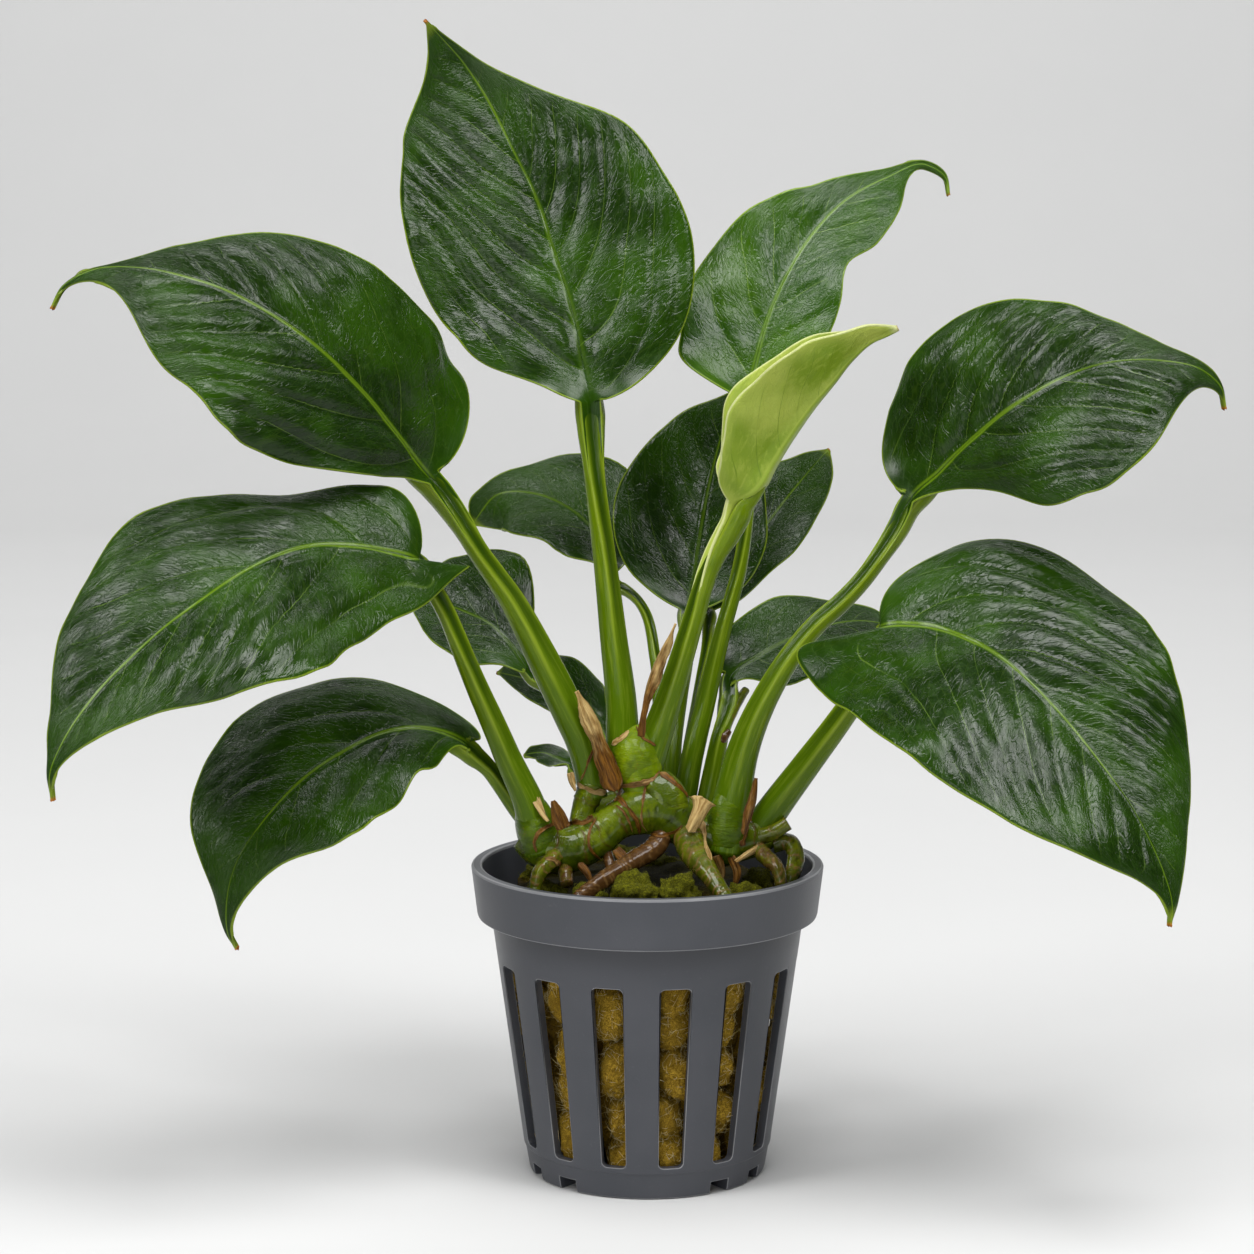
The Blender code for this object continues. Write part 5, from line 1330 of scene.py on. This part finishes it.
def pot_profile():
    """The pot's section from the middle of its floor up the inside, over the lip and down the outside."""
    inner_foot = WALL_FOOT_RADIUS - WALL
    inner_top = WALL_TOP_RADIUS - WALL
    lip_inside = RIM_RADIUS - LIP_WIDTH
    slope = (WALL_TOP_RADIUS - WALL_FOOT_RADIUS) / (BAND_FOOT - 0.6 - WALL_FOOT)
    over_slots = SLOT_TOP + 0.5
    return (
        (0, FLOOR), (inner_foot - 1.2, FLOOR), (inner_foot - 0.3, FLOOR + 0.7), (inner_foot, WALL_FOOT),
        (inner_top, BAND_FOOT - 0.6), (inner_top + 0.4, BAND_FOOT), (lip_inside - 0.9, BAND_FOOT + 0.6),
        (lip_inside - 0.6, BAND_FOOT + 1.2), (lip_inside, POT_HEIGHT - 0.45),
        (lip_inside + 0.12, POT_HEIGHT - 0.14), (lip_inside + 0.4, POT_HEIGHT),
        (RIM_RADIUS - 0.35, POT_HEIGHT), (RIM_RADIUS - 0.1, POT_HEIGHT - 0.1),
        (RIM_RADIUS, POT_HEIGHT - 0.35), (BAND_FOOT_RADIUS + 0.02, BAND_FOOT + 0.6),
        (BAND_FOOT_RADIUS - 0.1, BAND_FOOT + 0.2), (BAND_FOOT_RADIUS - 0.4, BAND_FOOT),
        (WALL_TOP_RADIUS + 0.35, BAND_FOOT - 0.08), (WALL_TOP_RADIUS + 0.1, BAND_FOOT - 0.25),
        (WALL_TOP_RADIUS, BAND_FOOT - 0.6), (WALL_FOOT_RADIUS + slope * (over_slots - WALL_FOOT), over_slots),
        (WALL_FOOT_RADIUS + slope * 0.4, WALL_FOOT + 0.4), (WALL_FOOT_RADIUS, WALL_FOOT),
        (WALL_FOOT_RADIUS - 0.2, WALL_FOOT - 0.25), (BASE_RADIUS, 0.5), (BASE_RADIUS - 0.12, 0.14),
        (BASE_RADIUS - 0.5, 0), (0, 0),
    )


def bars(name, angles, near, far, foot, top, foot_width, top_width, corner):
    """Bars that point out from the axis, at angles counted from the front towards the right."""
    form = bmesh.new()
    for angle in angles:
        made = bmesh.ops.create_cube(form, size=1.0)["verts"]
        for point in made:
            width = top_width if point.co.z > 0 else foot_width
            height = top if point.co.z > 0 else foot
            reach = far if point.co.y < 0 else near
            point.co = (math.copysign(width / 2, point.co.x) * MM, -reach * MM, height * MM)
        if corner:
            long_edges = [edge for edge in form.edges if edge.verts[0] in made
                          and abs(edge.verts[0].co.y - edge.verts[1].co.y) > MM]
            made = bmesh.ops.bevel(form, geom=long_edges, offset=corner * MM, segments=4, profile=0.5,
                                   affect="EDGES")["verts"]
        loose = set(made)
        for face in form.faces:
            if loose & set(face.verts):
                loose.update(face.verts)
        turn = math.radians(angle)
        for point in loose:
            x, y = point.co.x, point.co.y
            point.co.x = x * math.cos(turn) - y * math.sin(turn)
            point.co.y = x * math.sin(turn) + y * math.cos(turn)
    mesh = bpy.data.meshes.new(name)
    form.to_mesh(mesh)
    form.free()
    return add_object(name, mesh)


def pot_piece(finish, highlight_edge_finish):
    """The net pot turned from its section, its slots and drains cut out and their edges rounded, with a paler
    finish on the rounded edges, the rim's edge and the band's foot as a painted highlight.
    """
    profile = pot_profile()
    mesh = bpy.data.meshes.new("pot_section")
    mesh.from_pydata([(radius * MM, 0, height * MM) for radius, height in profile],
                     [(i, i + 1) for i in range(len(profile) - 1)], [])
    mesh.materials.append(finish)
    mesh.materials.append(highlight_edge_finish)
    blank = add_object("pot_blank", mesh)
    screw = blank.modifiers.new("turn", "SCREW")
    screw.angle = 2 * math.pi
    screw.steps = POT_STEPS
    screw.render_steps = POT_STEPS
    screw.use_merge_vertices = True
    screw.merge_threshold = 0.00001
    angles = [FIRST_SLOT + SLOT_PITCH * k for k in range(SLOT_COUNT)]
    tools = (bars("slots", angles, WALL_FOOT_RADIUS - 4, RIM_RADIUS, SLOT_FOOT, SLOT_TOP, SLOT_FOOT_WIDTH,
                  SLOT_TOP_WIDTH, SLOT_CORNER),
             bars("drains", [angles[k] for k in DRAIN_SLOTS], DRAIN_START, RIM_RADIUS, -1, DRAIN_HEIGHT + 0.4,
                  DRAIN_WIDTH, DRAIN_WIDTH, 0))
    for tool in tools:
        difference = blank.modifiers.new("cut_" + tool.name, "BOOLEAN")
        difference.operation = "DIFFERENCE"
        difference.solver = "EXACT"
        difference.object = tool
    bevel = blank.modifiers.new("edges", "BEVEL")
    bevel.width = POT_BEVEL * MM
    bevel.use_clamp_overlap = False
    bevel.loop_slide = False
    bevel.segments = 2
    # the rounded edges take the paler second finish, a painted highlight line
    bevel.material = 1
    bevel.limit_method = "ANGLE"
    bevel.angle_limit = math.radians(ROUNDED_CORNER)
    bpy.context.view_layer.update()
    made = bpy.data.meshes.new_from_object(blank.evaluated_get(bpy.context.evaluated_depsgraph_get()))
    for item in (blank, *tools):
        bpy.data.objects.remove(item)
    made.name = "net_pot"
    made.shade_smooth()
    made.set_sharp_from_angle(angle=math.radians(SHARP_CORNER))
    # the rim's top edge and the band's foot also take the paler finish, as painted highlight lines
    for face in made.polygons:
        radius = math.hypot(face.center.x, face.center.y) / MM
        height = face.center.z / MM
        on_rim = POT_HEIGHT - 0.42 < height < POT_HEIGHT - 0.02
        on_band = BAND_FOOT < height < BAND_FOOT + 0.2 and radius > BAND_FOOT_RADIUS - 0.45
        if on_rim or on_band:
            face.material_index = 1
    pot = add_object("net_pot", made)
    even = pot.modifiers.new("even_shading", "WEIGHTED_NORMAL")
    even.keep_sharp = True
    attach(pot, "root")
    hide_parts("pot")


def plastic_finish(name, dark, light):
    """Satin plastic with faint clouds and specks, and painted shade darkening it under the band."""
    finish = Finish(name, roughness=0.4, Specular_IOR_Level=0.5)
    place = finish.place_mm()
    cloud = finish.noise(place, 0.06, 3.0, 0.55)
    speck = finish.noise(place, 1.6, 3.0, 0.6)
    colour = finish.mix(finish.between(cloud, 0.35, 0.65), dark, light)
    colour = finish.mix(finish.between(speck, 0.6, 0.8, 0, 0.25), colour, (0.11, 0.113, 0.125))
    # painted shade: the wall is darkened towards near black just under the band, where the band shades it
    height = finish.height(place)
    under = finish.between(height, 32.0, 36.8, 0, 0.5)
    under = finish.math("MULTIPLY", under, finish.between(height, 36.8, 37.0, 1, 0))
    colour = finish.mix(under, colour, (0.02, 0.021, 0.025))
    finish.set("Base Color", colour)
    finish.set("Roughness", finish.between(cloud, 0.3, 0.7, 0.36, 0.46))
    finish.bump(finish.noise(place, 3.5, 3.0, 0.6), 0.02)
    return finish.material


def lamp(name, place, target, size, power):
    light = bpy.data.lights.new(name, "AREA")
    light.shape = "RECTANGLE"
    light.size, light.size_y = size
    light.energy = power
    item = add_object(name, light)
    item.location = place
    aim = np.asarray(target, float) - np.asarray(place, float)
    flat = math.hypot(aim[0], aim[1])
    item.rotation_euler = (math.pi / 2 + math.atan2(aim[2], flat), 0,
                           math.atan2(aim[1], aim[0]) - math.pi / 2)


def studio():
    """A pale floor that curves up behind, soft lamps, and the camera at the photograph's angle."""
    section = [(STAGE_FRONT, 0.0), (SWEEP_START, 0.0)]
    section += [(SWEEP_START + SWEEP_RADIUS * math.sin(turn), SWEEP_RADIUS - SWEEP_RADIUS * math.cos(turn))
                for turn in np.linspace(0.1, math.pi / 2, 14)]
    section += [(SWEEP_START + SWEEP_RADIUS, STAGE_TOP)]
    points = [(x, y, z) for y, z in section for x in (-STAGE_HALF_WIDTH, STAGE_HALF_WIDTH)]
    faces = [(2 * i, 2 * i + 1, 2 * i + 3, 2 * i + 2) for i in range(len(section) - 1)]
    mesh = bpy.data.meshes.new("studio_floor")
    mesh.from_pydata(points, [], faces)
    mesh.shade_smooth()
    finish = Finish("studio_paper", roughness=0.75, Specular_IOR_Level=0.2)
    paper = finish.noise(finish.place(), 14.0, 2.0)
    finish.set("Base Color", finish.mix(paper, (0.64, 0.64, 0.636), (0.66, 0.66, 0.655)))
    mesh.materials.append(finish.material)
    floor = add_object("studio_floor", mesh)
    world = bpy.data.worlds.new("studio_world")
    world.use_nodes = True
    background = world.node_tree.nodes["Background"]
    background.inputs["Color"].default_value = (0.9, 0.95, 1.0, 1)
    background.inputs["Strength"].default_value = 0.08
    bpy.context.scene.world = world
    for name, light in LAMPS.items():
        lamp(name, **light)
    camera = bpy.data.cameras.new("camera")
    camera.lens = LENS
    camera.sensor_width = SENSOR
    camera.clip_start = 0.01
    item = add_object("camera", camera)
    item.location = CAMERA_PLACE
    item.rotation_euler = (math.radians(90 - CAMERA_DOWN), 0, 0)
    bpy.context.scene.camera = item


BLADE_SKINS = {
    "dark": dict(name="blade_skin", dark=(0.006, 0.021, 0.0003), mid=(0.019, 0.06, 0.0006),
                 vein=(0.08, 0.14, 0.018), midrib=(0.12, 0.21, 0.006), rim=(0.2, 0.29, 0.015),
                 tip=(0.45, 0.16, 0.02), gloss=0.22, wrinkle=0.13),
    "light": dict(name="light_blade_skin", dark=(0.015, 0.055, 0.0006), mid=(0.04, 0.11, 0.001),
                  vein=(0.12, 0.21, 0.02), midrib=(0.16, 0.28, 0.02), rim=(0.22, 0.34, 0.03),
                  tip=(0.42, 0.2, 0.03), gloss=0.22, wrinkle=0.12),
    "young": dict(name="young_blade_skin", dark=(0.2, 0.31, 0.012), mid=(0.47, 0.55, 0.09),
                  vein=(0.14, 0.24, 0.01), midrib=(0.3, 0.42, 0.04), rim=(0.6, 0.64, 0.28),
                  tip=(0.5, 0.4, 0.15), gloss=0.34, wrinkle=0.1),
}


def main():
    studio()
    bpy.context.scene.view_settings.view_transform = "Standard"
    skins = {kind: blade_finish(**skin) for kind, skin in BLADE_SKINS.items()}
    # the stalks' dark colour is painted shade in their channels
    stalks = stalk_finish("stalk_skin", low=(0.062, 0.118, 0.001), high=(0.12, 0.19, 0.0015),
                          pale=(0.28, 0.36, 0.03), dark=(0.011, 0.035, 0.001), gloss=0.17)
    made = build_stems()
    for name, leaf in LEAVES.items():
        look = LOOKS.get(name, SMALL_VEINS)
        leaf = with_channel(dict(SMALL_SHAPE, **leaf), look)
        leaf_piece(name, leaf, look, skins)
        made.append(stalk_piece(name, leaf, stalks))
    husk = sheath_finish()
    for name, sheath in SHEATHS.items():
        sheath_piece(name, dict(sheath, **SHEATH_LOOKS[name]), husk, (name,))
    for name, sheath in HUSKS.items():
        sheath_piece(name, sheath, husk, ())
    tree = surface_tree(made)
    for name, edge in EDGES.items():
        edge_piece(name, tree=tree, finish=husk, **edge)
    # The core is given darker wool tones than the lumps, painted shade in the gaps between them
    wool_core(wool_finish("wool_shade", dark=(0.1, 0.058, 0.003), light=(0.34, 0.2, 0.012),
                          green=(0.03, 0.03, 0.001), scale=1.0))
    wool_pieces(wool_finish("wool_mat", dark=(0.17, 0.095, 0.005), light=(0.68, 0.43, 0.045),
                            green=(0.16, 0.175, 0.004), scale=1.3),
                wool_finish("wool_fibre", dark=(0.6, 0.45, 0.14), light=(0.95, 0.84, 0.54),
                            green=(0.2, 0.22, 0.01), scale=0.6))
    # the second, paler plastic is a painted highlight on the pot's edges
    pot_piece(plastic_finish("satin_plastic", dark=(0.051, 0.055, 0.066), light=(0.064, 0.067, 0.079)),
              plastic_finish("painted_edge_highlight", dark=(0.19, 0.193, 0.205), light=(0.26, 0.263, 0.275)))


main()
